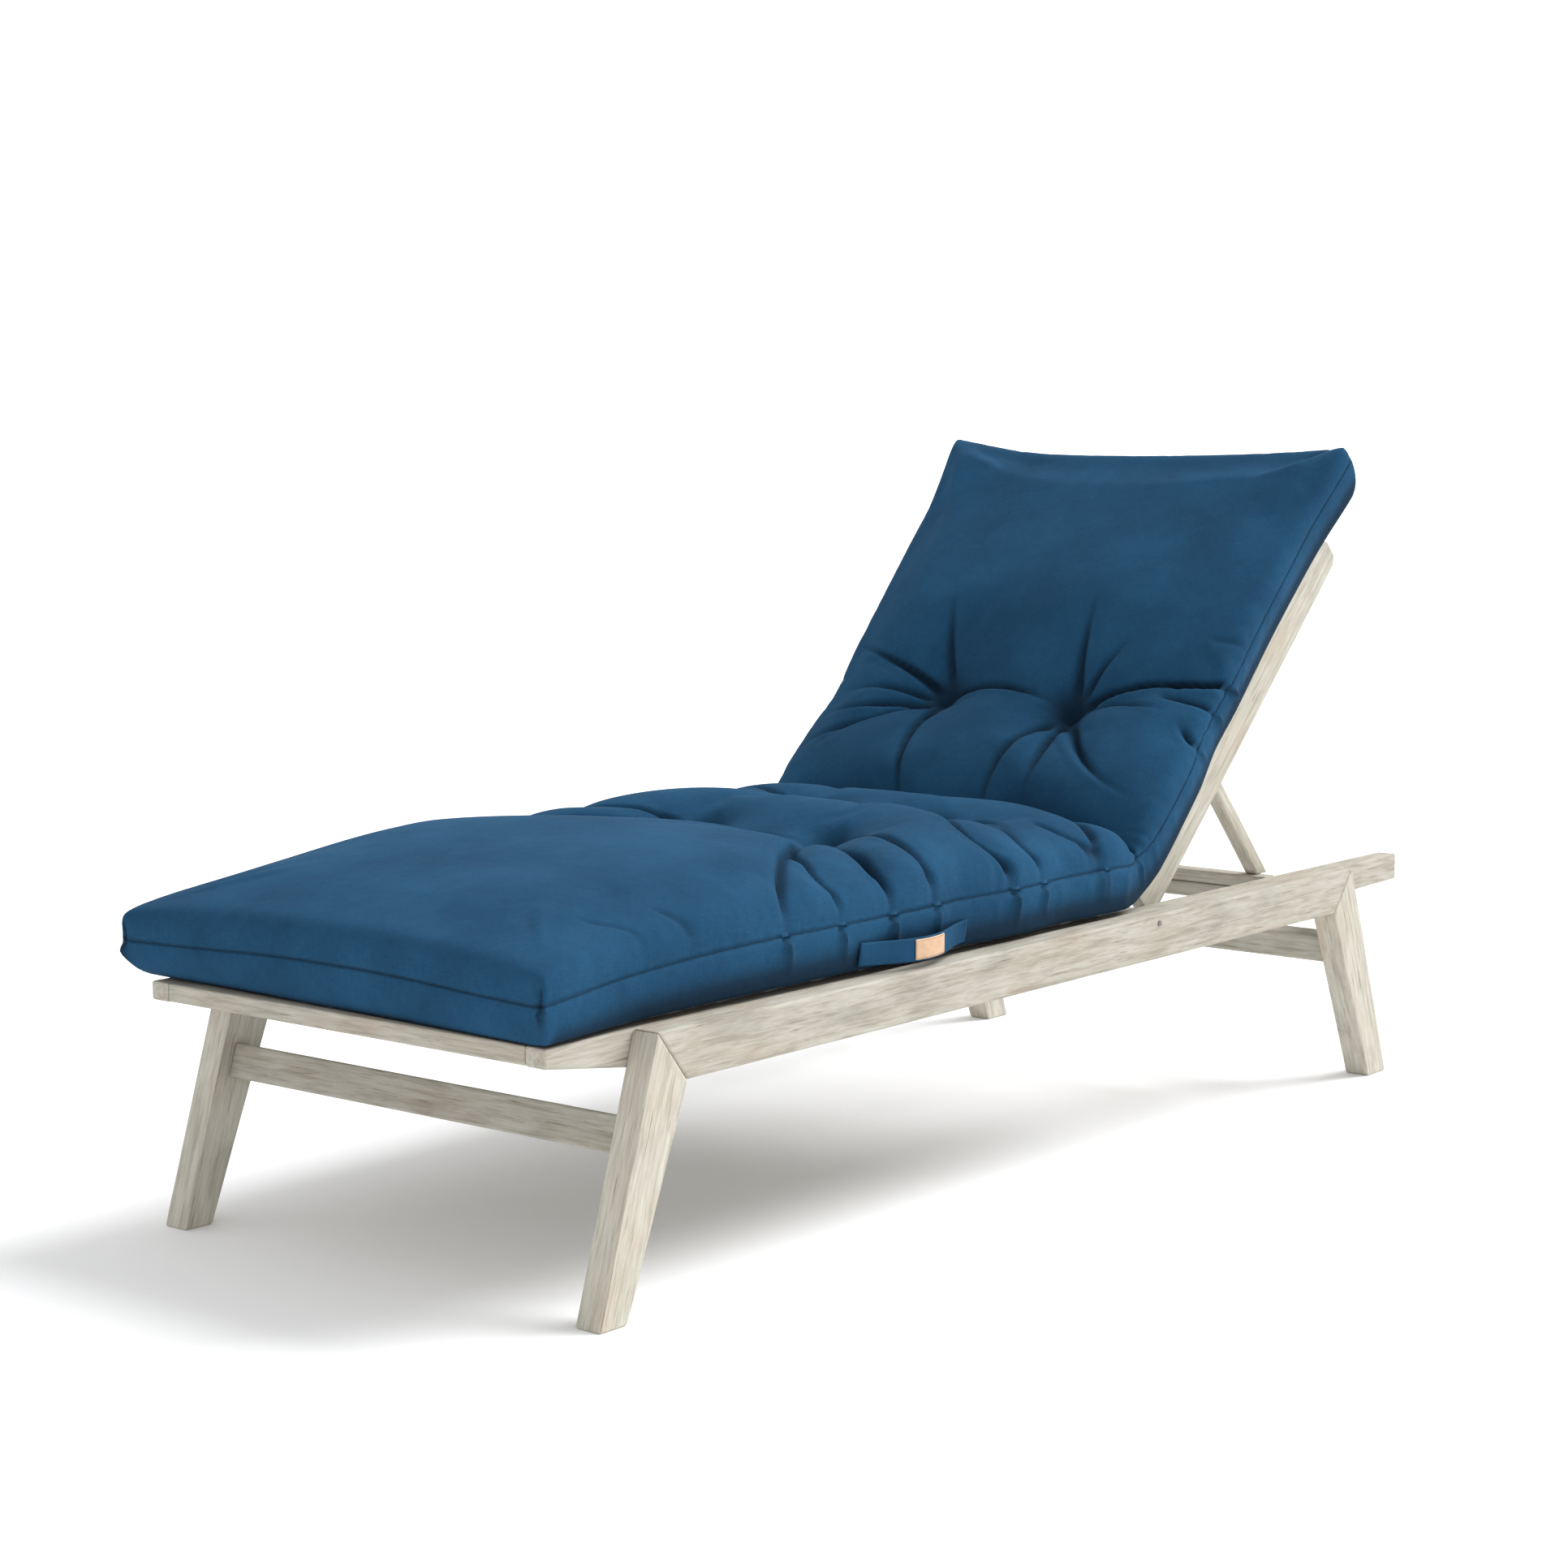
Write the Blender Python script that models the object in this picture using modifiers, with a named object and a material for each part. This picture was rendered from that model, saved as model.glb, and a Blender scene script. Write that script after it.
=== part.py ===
"""A tufted sun lounger cushion lying bent over a plain wooden sun lounger.

Metres, +Z up. +Y runs from the foot end to the head end, +X to the right of someone looking along +Y.
The origin is on the floor, under the middle of the whole.
"""
from math import atan2, cos, exp, hypot, pi, radians, sin

import bmesh
import bpy
from mathutils import Matrix, Vector

# Lounger: overall sizes
FRAME_WIDTH = 0.700
FRAME_LENGTH = 1.7635
BED_START = -0.8715
RAIL_TOP = 0.304
GAP = 0.0003
EDGE_ROUND = 0.0025

# Side arches: a rail with a splayed leg mitred to each end
ARCH_THICK = 0.036
ARCH_CORNERS = (-0.7380, 0.7035)
ARCH_RAIL_DEEP = 0.058
MITRE_RUN = 0.0455
LEG_SPLAY = 0.0955
LEG_FOOT_DEEP = 0.041
REAR_FOOT_EXTRA = 0.006
STRETCHER_TOP = 0.209
STRETCHER_DEEP = 0.041
STRETCHER_THICK = 0.022
STRETCHER_SETBACK = 0.018

# Bed: rails between the arches, boards and slats between the rails
BED_RAIL_THICK = 0.029
BED_RAIL_TIP_DEEP = 0.0218
BED_RAIL_FRONT = (-0.7300, 0.2610)
BED_RAIL_REAR = (0.7235, 0.2600)
BED_RAIL_END_LOW = 0.2633
BED_FRONT_DROP = 0.0005
BED_REAR_DROP = 0.0045
END_BOARD_WIDE = 0.062
END_BOARD_DEEP = 0.0212
END_BOARD_DROP = 0.0008
SLAT_TOP = RAIL_TOP - 0.0003
SLAT_THICK = 0.018
SLAT_WIDE = 0.060
SEAT_SLATS = 12
SEAT_SLAT_PITCH = 0.082
SEAT_SLAT_START = 0.022
CROSS_RAIL_Y = 0.596
CROSS_RAIL_WIDE = 0.030
CROSS_RAIL_Z = (0.2620, 0.2822)
PROP_BAR_TOP = 0.3003
PROP_BAR_TRIM = 0.004

# Backrest: two stiles with slats across, held up by two props
BACK_ANGLE = radians(44.2)
BACK_CORNER_Y = 0.2443
STILE_THICK = 0.020
STILE_DEEP = 0.0563
STILE_START = 0.022
STILE_END = 0.668
STILE_CHAMFER = 0.010
STILE_FRONT_CHAMFER = 0.020
BACK_SLATS = 8
BACK_SLAT_PITCH = 0.080
BACK_SLAT_START = 0.062
BOLT_RADIUS = 0.0035
BOLT_PROUD = 0.0012
BOLT_Y = 0.2160
BOLT_Z = 0.292
PROP_THICK = 0.020
PROP_DEEP = 0.020
PROP_LAP = 0.034
PROP_TOP = (0.4935, 0.431)
PROP_FOOT = (0.6075, 0.3005)

# Cushion
CUSHION_LENGTH = 1.884
CUSHION_START = -0.8840
CUSHION_HALF = 0.330
CORNER_FLARE = 0.009
FLARE_REACH = 0.16
FOOT_DRAWN_IN = 0.012
HEAD_DRAWN_IN = 0.024
FOOT_DRIFT = -0.014
FOOT_DRIFT_REACH = 0.9
HEAD_DRIFT = -0.020
HEAD_DRIFT_REACH = 0.7
ROW_DRAW_IN = 0.007
ROW_DRAW_REACH = 0.05
BACK_WAIST = 0.0105
BACK_WAIST_WALL = 0.4
WAIST_FROM = (1.05, 0.15)
WAIST_TO = (1.52, 0.33)
CUSHION_LIFT = RAIL_TOP + GAP
BEND_RADIUS = 0.16
CORNER_ROUND = 0.012
SEAM_AT_CORNER = 0.045
SEAM_END_RISE = 0.013
SEAM_END_REACH = 0.30
SEAM_SEAT_RISE = 0.020
SEAM_SEAT_REACH = 1.0
SEAM_BACK_DROP = 0.009
SEAM_HEAD_DROP = 0.006
SEAM_HEAD_REACH = 0.25
BACK_FROM = 1.0
BACK_BLEND = 0.30
WALL_RISE = 0.028
HEAD_WALL_EXTRA = 0.014
WALL_REACH = 0.022
SEAT_POWER = 2.9
BACK_POWER = 2.3
END_DOME = 0.24
END_POWER = 2.3
SEAT_POWER_TO_BACK = 0.3
UNDER_DOME = 0.036
UNDER_DOME_BACK = 0.018
UNDER_END_REACH = 0.12
UNDER_STEPS = (0.06, 0.20, 0.50, 1.0)
TUFT_X = 0.105
TUFT_PIT = 0.045
TUFT_SPREAD = 0.038
ROW_BOW = 0.22
ROW_BOW_AT = 0.60
ROW_BOW_SPREAD = 0.22

# Crown of the cushion above its underside, along its middle line
CROWN = (
    # path from the foot end, height
    (0.00, 0.118),
    (0.42, 0.157),
    (0.72, 0.124),
    (0.84, 0.152),
    (0.935, 0.122),
    (1.03, 0.138),
    (1.125, 0.066),
    (1.24, 0.108),
    (1.385, 0.098),
    (1.58, 0.110),
    (1.884, 0.086),
)
TUFT_ROWS = (0.72, 0.935, 1.125, 1.385)

# Main folds: troughs from a tuft to a point on the side, the same on both sides
FOLDS = (
    # row, path at the end, half width at the end, depth
    (0, 0.39, 0.328, 0.014),
    (0, 0.50, 0.328, 0.012),
    (0, 0.60, 0.328, 0.013),
    (1, 0.70, 0.328, 0.013),
    (1, 0.83, 0.328, 0.014),
    (1, 0.90, 0.328, 0.010),
    (3, 1.44, 0.328, 0.015),
    (3, 1.33, 0.300, 0.010),
    (3, 1.24, 0.290, 0.010),
    (3, 1.19, 0.130, 0.009),
    (3, 1.55, 0.120, 0.010),
)
FOLD_WIDTH = 0.017
FOLD_START = 0.02
FOLD_FADE = 0.6
FOLD_OVERRUN = 1.05
FOLD_EDGE = 0.10
LEAST_HEIGHT = 0.03

# Carry handle and its patch, on the right side below the seam
STRAP_PATH = (0.518, 0.724)
STRAP_WIDE = 0.028
STRAP_THICK = 0.0025
STRAP_HEIGHT = 0.0265
STRAP_DROOP = 0.0035
STRAP_BULGE = 0.016
STRAP_CLEAR = 0.0026
STRAP_STEPS = 18
PATCH_STEPS = (7, 12)
PATCH_THICK = 0.0015
PATCH_GAP = 0.0008
PATCH_OVER = -0.002

BLUE = (0.010, 0.062, 0.150)
DARK_BLUE = (0.008, 0.046, 0.115)
TAN = (0.55, 0.36, 0.17)
WOOD = (0.56, 0.53, 0.46)
DARK_METAL = (0.08, 0.07, 0.06)


def clear_scene():
    for item in list(bpy.data.objects):
        bpy.data.objects.remove(item, do_unlink=True)


def collection(name):
    group = bpy.data.collections.new(name)
    bpy.context.scene.collection.children.link(group)
    return group


def material(name, colour, roughness, metallic=0.0):
    made = bpy.data.materials.new(name)
    made.use_nodes = True
    shader = made.node_tree.nodes["Principled BSDF"]
    shader.inputs["Base Color"].default_value = (*colour, 1.0)
    shader.inputs["Roughness"].default_value = roughness
    shader.inputs["Metallic"].default_value = metallic
    return made


def add_object(name, data, group, finish):
    made = bpy.data.objects.new(name, data)
    data.materials.append(finish)
    group.objects.link(made)
    return made


def add_bevel(item, width=EDGE_ROUND, segments=2):
    bevel = item.modifiers.new("edges", "BEVEL")
    bevel.width = width
    bevel.segments = segments
    bevel.limit_method = "ANGLE"
    bevel.angle_limit = radians(25)


def beam(name, outline, x_low, x_high, group, finish, segments=2):
    """A piece of timber: an outline in the YZ plane, given as (y, z), between two planes of X."""
    curve = bpy.data.curves.new(name, "CURVE")
    curve.dimensions = "2D"
    curve.fill_mode = "BOTH"
    curve.extrude = (x_high - x_low) / 2
    line = curve.splines.new("POLY")
    line.points.add(len(outline) - 1)
    for point, (y, z) in zip(line.points, outline):
        point.co = (y, z, 0, 1)
    line.use_cyclic_u = True
    item = add_object(name, curve, group, finish)
    upright = Matrix(((0, 0, 1, (x_low + x_high) / 2), (1, 0, 0, 0), (0, 1, 0, 0), (0, 0, 0, 1)))
    item.matrix_world = upright
    weld = item.modifiers.new("weld", "WELD")
    weld.merge_threshold = 0.0001
    add_bevel(item, segments=segments)
    return item


def block(name, size, centre, group, finish, tilt=0.0, segments=1):
    """A board: a box of the given size about its centre, tilted about the X axis."""
    shape = bmesh.new()
    bmesh.ops.create_cube(shape, size=1.0)
    bmesh.ops.scale(shape, vec=Vector(size), verts=shape.verts)
    mesh = bpy.data.meshes.new(name)
    shape.to_mesh(mesh)
    shape.free()
    item = add_object(name, mesh, group, finish)
    item.location = centre
    item.rotation_euler = (tilt, 0, 0)
    add_bevel(item, segments=segments)
    return item


def side_arches(group, finish):
    half = FRAME_WIDTH / 2
    low = RAIL_TOP - ARCH_RAIL_DEEP
    front, rear = ARCH_CORNERS
    slack = GAP * 0.65
    rail = ((front + slack, RAIL_TOP), (front + MITRE_RUN + slack, low),
            (rear - MITRE_RUN - slack, low), (rear - slack, RAIL_TOP))
    front_leg = ((front - slack, RAIL_TOP), (front - LEG_SPLAY, 0),
                 (front - LEG_SPLAY + LEG_FOOT_DEEP, 0), (front + MITRE_RUN - slack, low))
    rear_leg = ((rear + slack, RAIL_TOP), (rear - MITRE_RUN + slack, low),
                (rear + LEG_SPLAY - LEG_FOOT_DEEP, 0), (rear + LEG_SPLAY + REAR_FOOT_EXTRA, 0))
    for side, sign in (("right", 1), ("left", -1)):
        x_low, x_high = sorted((sign * (half - ARCH_THICK), sign * half))
        beam(f"side_rail_{side}", rail, x_low, x_high, group, finish)
        beam(f"front_leg_{side}", front_leg, x_low, x_high, group, finish)
        beam(f"rear_leg_{side}", rear_leg, x_low, x_high, group, finish)


def stretchers(group, finish):
    """The two cross bars between the legs, leaning with them."""
    lean = atan2(LEG_SPLAY, RAIL_TOP)
    long = FRAME_WIDTH - 2 * (ARCH_THICK + GAP)
    middle = STRETCHER_TOP - STRETCHER_DEEP / 2
    inward = STRETCHER_SETBACK + STRETCHER_THICK / 2
    ends = (("front_stretcher", ARCH_CORNERS[0], 1), ("rear_stretcher", ARCH_CORNERS[1], -1))
    for name, corner, sign in ends:
        leg_face = corner - sign * LEG_SPLAY * (1 - middle / RAIL_TOP)
        size = (long, STRETCHER_THICK, STRETCHER_DEEP)
        block(name, size, (0, leg_face + sign * inward, middle), group, finish, -sign * lean, 2)


def bed_half():
    return FRAME_WIDTH / 2 - ARCH_THICK - GAP


def bed_rails(group, finish):
    start, end = BED_START, BED_START + FRAME_LENGTH
    top_front, top_rear = RAIL_TOP - BED_FRONT_DROP, RAIL_TOP - BED_REAR_DROP
    outline = ((start, top_front), (start, top_front - BED_RAIL_TIP_DEEP), BED_RAIL_FRONT, BED_RAIL_REAR,
               (end, BED_RAIL_END_LOW), (end, top_rear))
    half = bed_half()
    for side, sign in (("right", 1), ("left", -1)):
        x_low, x_high = sorted((sign * (half - BED_RAIL_THICK), sign * half))
        beam(f"bed_rail_{side}", outline, x_low, x_high, group, finish)


def bed_cross_pieces(group, finish):
    long = 2 * (bed_half() - BED_RAIL_THICK - GAP)
    front_centre = (0, BED_START + END_BOARD_WIDE / 2, RAIL_TOP - END_BOARD_DROP - END_BOARD_DEEP / 2)
    block("front_board", (long, END_BOARD_WIDE, END_BOARD_DEEP), front_centre, group, finish, segments=2)
    first = BED_START + END_BOARD_WIDE + SEAT_SLAT_START + SLAT_WIDE / 2
    for number in range(SEAT_SLATS):
        centre = (0, first + number * SEAT_SLAT_PITCH, SLAT_TOP - SLAT_THICK / 2)
        block(f"seat_slat_{number + 1:02d}", (long, SLAT_WIDE, SLAT_THICK), centre, group, finish)
    low, cross_top = CROSS_RAIL_Z
    centre = (0, CROSS_RAIL_Y, (low + cross_top) / 2)
    block("cross_rail", (long, CROSS_RAIL_WIDE, cross_top - low), centre, group, finish, segments=2)
    bar_low = cross_top + GAP
    centre = (0, CROSS_RAIL_Y, (bar_low + PROP_BAR_TOP) / 2)
    size = (long - PROP_BAR_TRIM, CROSS_RAIL_WIDE - PROP_BAR_TRIM, PROP_BAR_TOP - bar_low)
    block("prop_foot_bar", size, centre, group, finish, segments=2)


def on_back(along, above):
    """(y, z) on the backrest: along the line of the cushion's underside, and above it."""
    rise, run = sin(BACK_ANGLE), cos(BACK_ANGLE)
    return (BACK_CORNER_Y + along * run - above * rise, CUSHION_LIFT + along * rise + above * run)


def stile_half():
    return bed_half() - BED_RAIL_THICK - GAP


def backrest(group, finish):
    """Stiles up to the cushion, and the slats set between them."""
    outer = stile_half()
    front, back = -GAP, -GAP - STILE_DEEP
    start, end = STILE_START, STILE_END
    outline = [on_back(start, front), on_back(start, back), on_back(end - STILE_CHAMFER, back),
               on_back(end, back + STILE_CHAMFER), on_back(end, front - STILE_FRONT_CHAMFER),
               on_back(end - STILE_FRONT_CHAMFER, front)]
    for side, sign in (("right", 1), ("left", -1)):
        x_low, x_high = sorted((sign * (outer - STILE_THICK), sign * outer))
        beam(f"back_stile_{side}", outline, x_low, x_high, group, finish)
    size = (2 * (outer - STILE_THICK - GAP), SLAT_WIDE, SLAT_THICK)
    for number in range(BACK_SLATS):
        y, z = on_back(BACK_SLAT_START + number * BACK_SLAT_PITCH, -GAP - SLAT_THICK / 2)
        block(f"back_slat_{number + 1:02d}", size, (0, y, z), group, finish, BACK_ANGLE)


def props(group, finish):
    """Two struts from the stiles' inner faces down to the bar that sits on the cross rail."""
    outer = stile_half() - STILE_THICK - GAP
    (y_top, z_top), (y_low, z_low) = PROP_TOP, PROP_FOOT
    tilt = atan2(z_low - z_top, y_low - y_top)
    across_y, across_z = sin(tilt) * PROP_DEEP / 2, -cos(tilt) * PROP_DEEP / 2
    low = PROP_FOOT[1] + GAP
    reach = (z_top - low) / (z_top - z_low)
    y_end = y_top + (y_low - y_top) * reach
    flat = PROP_DEEP / 2 / abs(sin(tilt))
    y_top, z_top = y_top - PROP_LAP * cos(tilt), z_top - PROP_LAP * sin(tilt)
    outline = ((y_top + across_y, z_top + across_z), (y_end - flat, low), (y_end + flat, low),
               (y_top - across_y, z_top - across_z))
    for side, sign in (("right", 1), ("left", -1)):
        x_low, x_high = sorted((sign * (outer - PROP_THICK), sign * outer))
        beam(f"prop_{side}", outline, x_low, x_high, group, finish)


def bolts(group, finish):
    """The heads of the two bolts that the backrest turns on, proud of the side rails."""
    for side, sign in (("right", 1), ("left", -1)):
        shape = bmesh.new()
        bmesh.ops.create_cone(shape, cap_ends=True, segments=16, radius1=BOLT_RADIUS, radius2=BOLT_RADIUS,
                              depth=BOLT_PROUD)
        mesh = bpy.data.meshes.new(f"hinge_bolt_{side}")
        shape.to_mesh(mesh)
        shape.free()
        item = add_object(f"hinge_bolt_{side}", mesh, group, finish)
        item.location = (sign * (FRAME_WIDTH / 2 + GAP + BOLT_PROUD / 2), BOLT_Y, BOLT_Z)
        item.rotation_euler = (0, pi / 2, 0)


def blend(share):
    share = min(max(share, 0.0), 1.0)
    return share * share * (3 - 2 * share)


def path_point(along):
    """(y, z) and the upward direction (ny, nz) on the cushion's underside, along from its foot end."""
    straight = BACK_CORNER_Y - CUSHION_START - BEND_RADIUS * sin(BACK_ANGLE / 2) / cos(BACK_ANGLE / 2)
    if along <= straight:
        return CUSHION_START + along, CUSHION_LIFT, 0.0, 1.0
    turn = min((along - straight) / BEND_RADIUS, BACK_ANGLE)
    y = CUSHION_START + straight + BEND_RADIUS * sin(turn)
    z = CUSHION_LIFT + BEND_RADIUS * (1 - cos(turn))
    past = along - straight - BEND_RADIUS * turn
    return y + past * cos(turn), z + past * sin(turn), -sin(turn), cos(turn)


def waist(along):
    """1 along the middle of the back, where the cushion is drawn in, and 0 elsewhere."""
    (start, rise), (end, fall) = WAIST_FROM, WAIST_TO
    return blend((along - start) / rise) * (1 - blend((along - end) / fall))


def half_width(along):
    """Half of the cushion's width at its seam: drawn in at each row of tufts, round at the corners."""
    half = CUSHION_HALF - BACK_WAIST * waist(along)
    for row in TUFT_ROWS:
        half -= ROW_DRAW_IN * exp(-((along - row) / ROW_DRAW_REACH) ** 2)
    near_end = min(along, CUSHION_LENGTH - along)
    half += CORNER_FLARE * (1 - blend(near_end / FLARE_REACH))
    if near_end < CORNER_ROUND:
        half -= CORNER_ROUND * (1 - (1 - (1 - near_end / CORNER_ROUND) ** 2) ** 0.5)
    return half


def crown_height(along):
    for (start, low), (end, high) in zip(CROWN, CROWN[1:]):
        if along <= end:
            return low + (high - low) * blend((along - start) / (end - start))
    return CROWN[-1][1]


def seam_height(along, x):
    """Height of the seam: it rises from the foot corners to the bend, and in the middle of each end."""
    height = SEAM_AT_CORNER + SEAM_END_RISE * blend((CUSHION_HALF - abs(x)) / SEAM_END_REACH)
    height += SEAM_SEAT_RISE * blend(along / SEAM_SEAT_REACH)
    height -= SEAM_BACK_DROP * blend((along - BACK_FROM) / BACK_BLEND)
    return height - SEAM_HEAD_DROP * (1 - blend((CUSHION_LENGTH - along) / SEAM_HEAD_REACH))


def dome(inset, reach, power):
    """From 0 at the seam to 1 at reach, steep at first, as a filled cover swells."""
    return (1 - (1 - min(max(inset / reach, 0), 1)) ** power) ** (1 / power)


def fold_depth(along, x):
    """How far the tufts and the main folds pull the top down."""
    depth = 0.0
    for row in TUFT_ROWS:
        away = hypot(along - row, abs(x) - TUFT_X)
        depth += TUFT_PIT * exp(-(away / TUFT_SPREAD) ** 2)
    for row, end, end_x, deep in FOLDS:
        start = Vector((TUFT_ROWS[row], TUFT_X))
        line = Vector((end, end_x)) - start
        place = Vector((along, abs(x))) - start
        share = place.dot(line) / line.length_squared
        if 0 < share < FOLD_OVERRUN:
            off = abs(place.x * line.y - place.y * line.x) / line.length
            fade = blend(share * line.length / FOLD_START) * (1 - FOLD_FADE * share)
            depth += deep * fade * exp(-(off / FOLD_WIDTH) ** 2)
    return depth


def top_height(along, x):
    half = half_width(along)
    inset = half - abs(x)
    from_end = min(along, CUSHION_LENGTH - along)
    seam = seam_height(along, x)
    rise = WALL_RISE + HEAD_WALL_EXTRA * blend(1 - (CUSHION_LENGTH - along) / FLARE_REACH)
    rise *= 1 - BACK_WAIST_WALL * waist(along)
    wall = rise * dome(min(inset, from_end), WALL_REACH, 2.0)
    power = SEAT_POWER + (BACK_POWER - SEAT_POWER) * blend((along - TUFT_ROWS[1]) / SEAT_POWER_TO_BACK)
    swell = dome(inset, half, power) * dome(from_end, END_DOME, END_POWER)
    bow = ROW_BOW * (x / CUSHION_HALF) ** 2 * exp(-((along - ROW_BOW_AT) / ROW_BOW_SPREAD) ** 2)
    height = seam + wall + (crown_height(along + bow) - seam - wall) * swell
    edge = dome(inset, FOLD_EDGE, 2.0) * dome(from_end, FOLD_EDGE, 2.0)
    return max(height - fold_depth(along, x) * edge, LEAST_HEIGHT)


def surface(along, x, height):
    """The point at a height over the underside; the two ends are drawn in between their corners."""
    from_end = min(along, CUSHION_LENGTH - along)
    at_foot = along < CUSHION_LENGTH / 2
    drawn_in = FOOT_DRAWN_IN if at_foot else -HEAD_DRAWN_IN
    pull = drawn_in * max(1 - (x / CUSHION_HALF) ** 2, 0) * (1 - blend(from_end / FLARE_REACH))
    y, z, ny, nz = path_point(along + pull)
    drift, reach = (FOOT_DRIFT, FOOT_DRIFT_REACH) if at_foot else (HEAD_DRIFT, HEAD_DRIFT_REACH)
    drift *= 1 - blend(from_end / reach)
    return (x + drift, y + height * ny, z + height * nz)


def stations(length, near_seam, pitch):
    """Distances from 0 to length: the near-seam steps at both ends and even steps between."""
    inner = length - 2 * near_seam[-1]
    count = round(inner / pitch)
    middle = [near_seam[-1] + inner * n / count for n in range(1, count)]
    return list(near_seam) + middle + [length - step for step in reversed(near_seam)]


def cushion_mesh():
    """Two panels on one seam loop: a domed top grid, and an underside that curls in to a flat sole."""
    near_seam = (0.0, 0.003, 0.010, 0.022, 0.042)
    rows = stations(CUSHION_LENGTH, near_seam, 0.030)
    across = stations(2 * CUSHION_HALF, near_seam, 0.027)
    shape = bmesh.new()
    grid = []
    for along in rows:
        scale = half_width(along) / CUSHION_HALF
        line = [(step - CUSHION_HALF) * scale for step in across]
        grid.append([shape.verts.new(surface(along, x, top_height(along, x))) for x in line])
    for front, back in zip(grid, grid[1:]):
        for n in range(len(across) - 1):
            shape.faces.new((front[n], front[n + 1], back[n + 1], back[n]))
    underside(shape, grid, rows, across)
    mesh = bpy.data.meshes.new("cushion")
    bmesh.ops.recalc_face_normals(shape, faces=shape.faces)
    shape.to_mesh(mesh)
    shape.free()
    return mesh


def under_dome(along):
    """How far the underside curls in from the seam; less on the back, which lies on its stiles."""
    return UNDER_DOME + (UNDER_DOME_BACK - UNDER_DOME) * blend((along - BACK_FROM) / BACK_BLEND)


def under_point(along, x, step):
    """A point of the underside: step goes from 0 at the seam to 1 where the sole is flat."""
    inset = under_dome(along) * step
    share = dome(step, 1.0, 2.0)
    seam = seam_height(along, x)
    from_end = min(along, CUSHION_LENGTH - along)
    end_pull = inset * (1 if along < CUSHION_LENGTH / 2 else -1) * (1 - blend(from_end / UNDER_END_REACH))
    side_pull = 1 - inset / CUSHION_HALF
    return surface(along + end_pull, x * side_pull, seam * (1 - share))


def underside(shape, grid, rows, across):
    last_row, last = len(rows) - 1, len(across) - 1
    loop = [(0, n) for n in range(last)] + [(n, last) for n in range(last_row)]
    loop += [(last_row, n) for n in range(last, 0, -1)] + [(n, 0) for n in range(last_row, 0, -1)]
    above = {spot: grid[spot[0]][spot[1]] for spot in loop}
    for step in UNDER_STEPS:
        below = {}
        for row, n in loop:
            x = (across[n] - CUSHION_HALF) * half_width(rows[row]) / CUSHION_HALF
            below[row, n] = shape.verts.new(under_point(rows[row], x, step))
        for spot, following in zip(loop, loop[1:] + loop[:1]):
            shape.faces.new((above[spot], above[following], below[following], below[spot]))
        above = below
    for row in range(1, last_row - 1):
        shape.faces.new((above[row, 0], above[row, last], above[row + 1, last], above[row + 1, 0]))
    shape.faces.new([above[0, n] for n in range(last + 1)] + [above[1, last], above[1, 0]])
    ends = [above[last_row, n] for n in range(last + 1)]
    shape.faces.new(ends + [above[last_row - 1, last], above[last_row - 1, 0]])


def cushion(group, finish):
    mesh = cushion_mesh()
    mesh.shade_smooth()
    return add_object("cushion", mesh, group, finish)


def wall_x(along, height):
    """Where the right side of the cushion is, at a height below the seam."""
    seam = seam_height(along, CUSHION_HALF)
    share = 1 - height / seam
    return half_width(along) - under_dome(along) * (1 - (1 - share ** 2) ** 0.5)


def strap_line(step):
    """Top and bottom edge of the handle's inner face at one of its even steps."""
    share = step / STRAP_STEPS
    along = STRAP_PATH[0] + (STRAP_PATH[1] - STRAP_PATH[0]) * share
    swell = sin(pi * share)
    middle = STRAP_HEIGHT - STRAP_DROOP * swell
    high, low = middle + STRAP_WIDE / 2, middle - STRAP_WIDE / 2
    out = STRAP_CLEAR + STRAP_BULGE * swell ** 2
    top_x = wall_x(along, high) + out
    low_x = wall_x(along, low) + out
    return Vector(surface(along, top_x, high)), Vector(surface(along, low_x + (top_x - low_x) * swell, low))


def band(name, steps, lift, thick, over, group, finish):
    """A strip on its edge along the handle's route, lifted off its inner face and wider by over each way."""
    shape = bmesh.new()
    rings = []
    outward = Vector((1, 0, 0))
    for step in range(steps[0], steps[1] + 1):
        top, foot = strap_line(step)
        up = (top - foot).normalized() * over
        inner = (top + up + outward * lift, foot - up + outward * lift)
        ring = inner + (inner[1] + outward * thick, inner[0] + outward * thick)
        rings.append([shape.verts.new(point) for point in ring])
    for ring, following in zip(rings, rings[1:]):
        for n in range(4):
            shape.faces.new((ring[n], ring[(n + 1) % 4], following[(n + 1) % 4], following[n]))
    shape.faces.new(rings[0])
    shape.faces.new(rings[-1])
    bmesh.ops.recalc_face_normals(shape, faces=shape.faces)
    mesh = bpy.data.meshes.new(name)
    shape.to_mesh(mesh)
    shape.free()
    return add_object(name, mesh, group, finish)


def main():
    clear_scene()
    group = collection("sun_lounger_cushion")
    timber = material("weathered_wood", WOOD, 0.75)
    steel = material("bolt_steel", DARK_METAL, 0.5, 0.8)
    side_arches(group, timber)
    stretchers(group, timber)
    bed_rails(group, timber)
    bed_cross_pieces(group, timber)
    backrest(group, timber)
    props(group, timber)
    bolts(group, steel)
    cushion(group, material("blue_cotton", BLUE, 0.85))
    webbing = material("blue_webbing", DARK_BLUE, 0.8)
    band("carry_handle", (0, STRAP_STEPS), 0.0, STRAP_THICK, 0.0, group, webbing)
    patch = material("tan_patch", TAN, 0.7)
    band("handle_patch", PATCH_STEPS, STRAP_THICK + PATCH_GAP, PATCH_THICK, PATCH_OVER, group, patch)


main()
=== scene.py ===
"""Looks of a tufted cushion lying bent over the raised back of a plain wooden sun lounger."""
from math import acos, atan2, cos, pi, radians, sin, tan

import bmesh
import bpy
import numpy as np
from mathutils import Matrix, Vector


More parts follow.
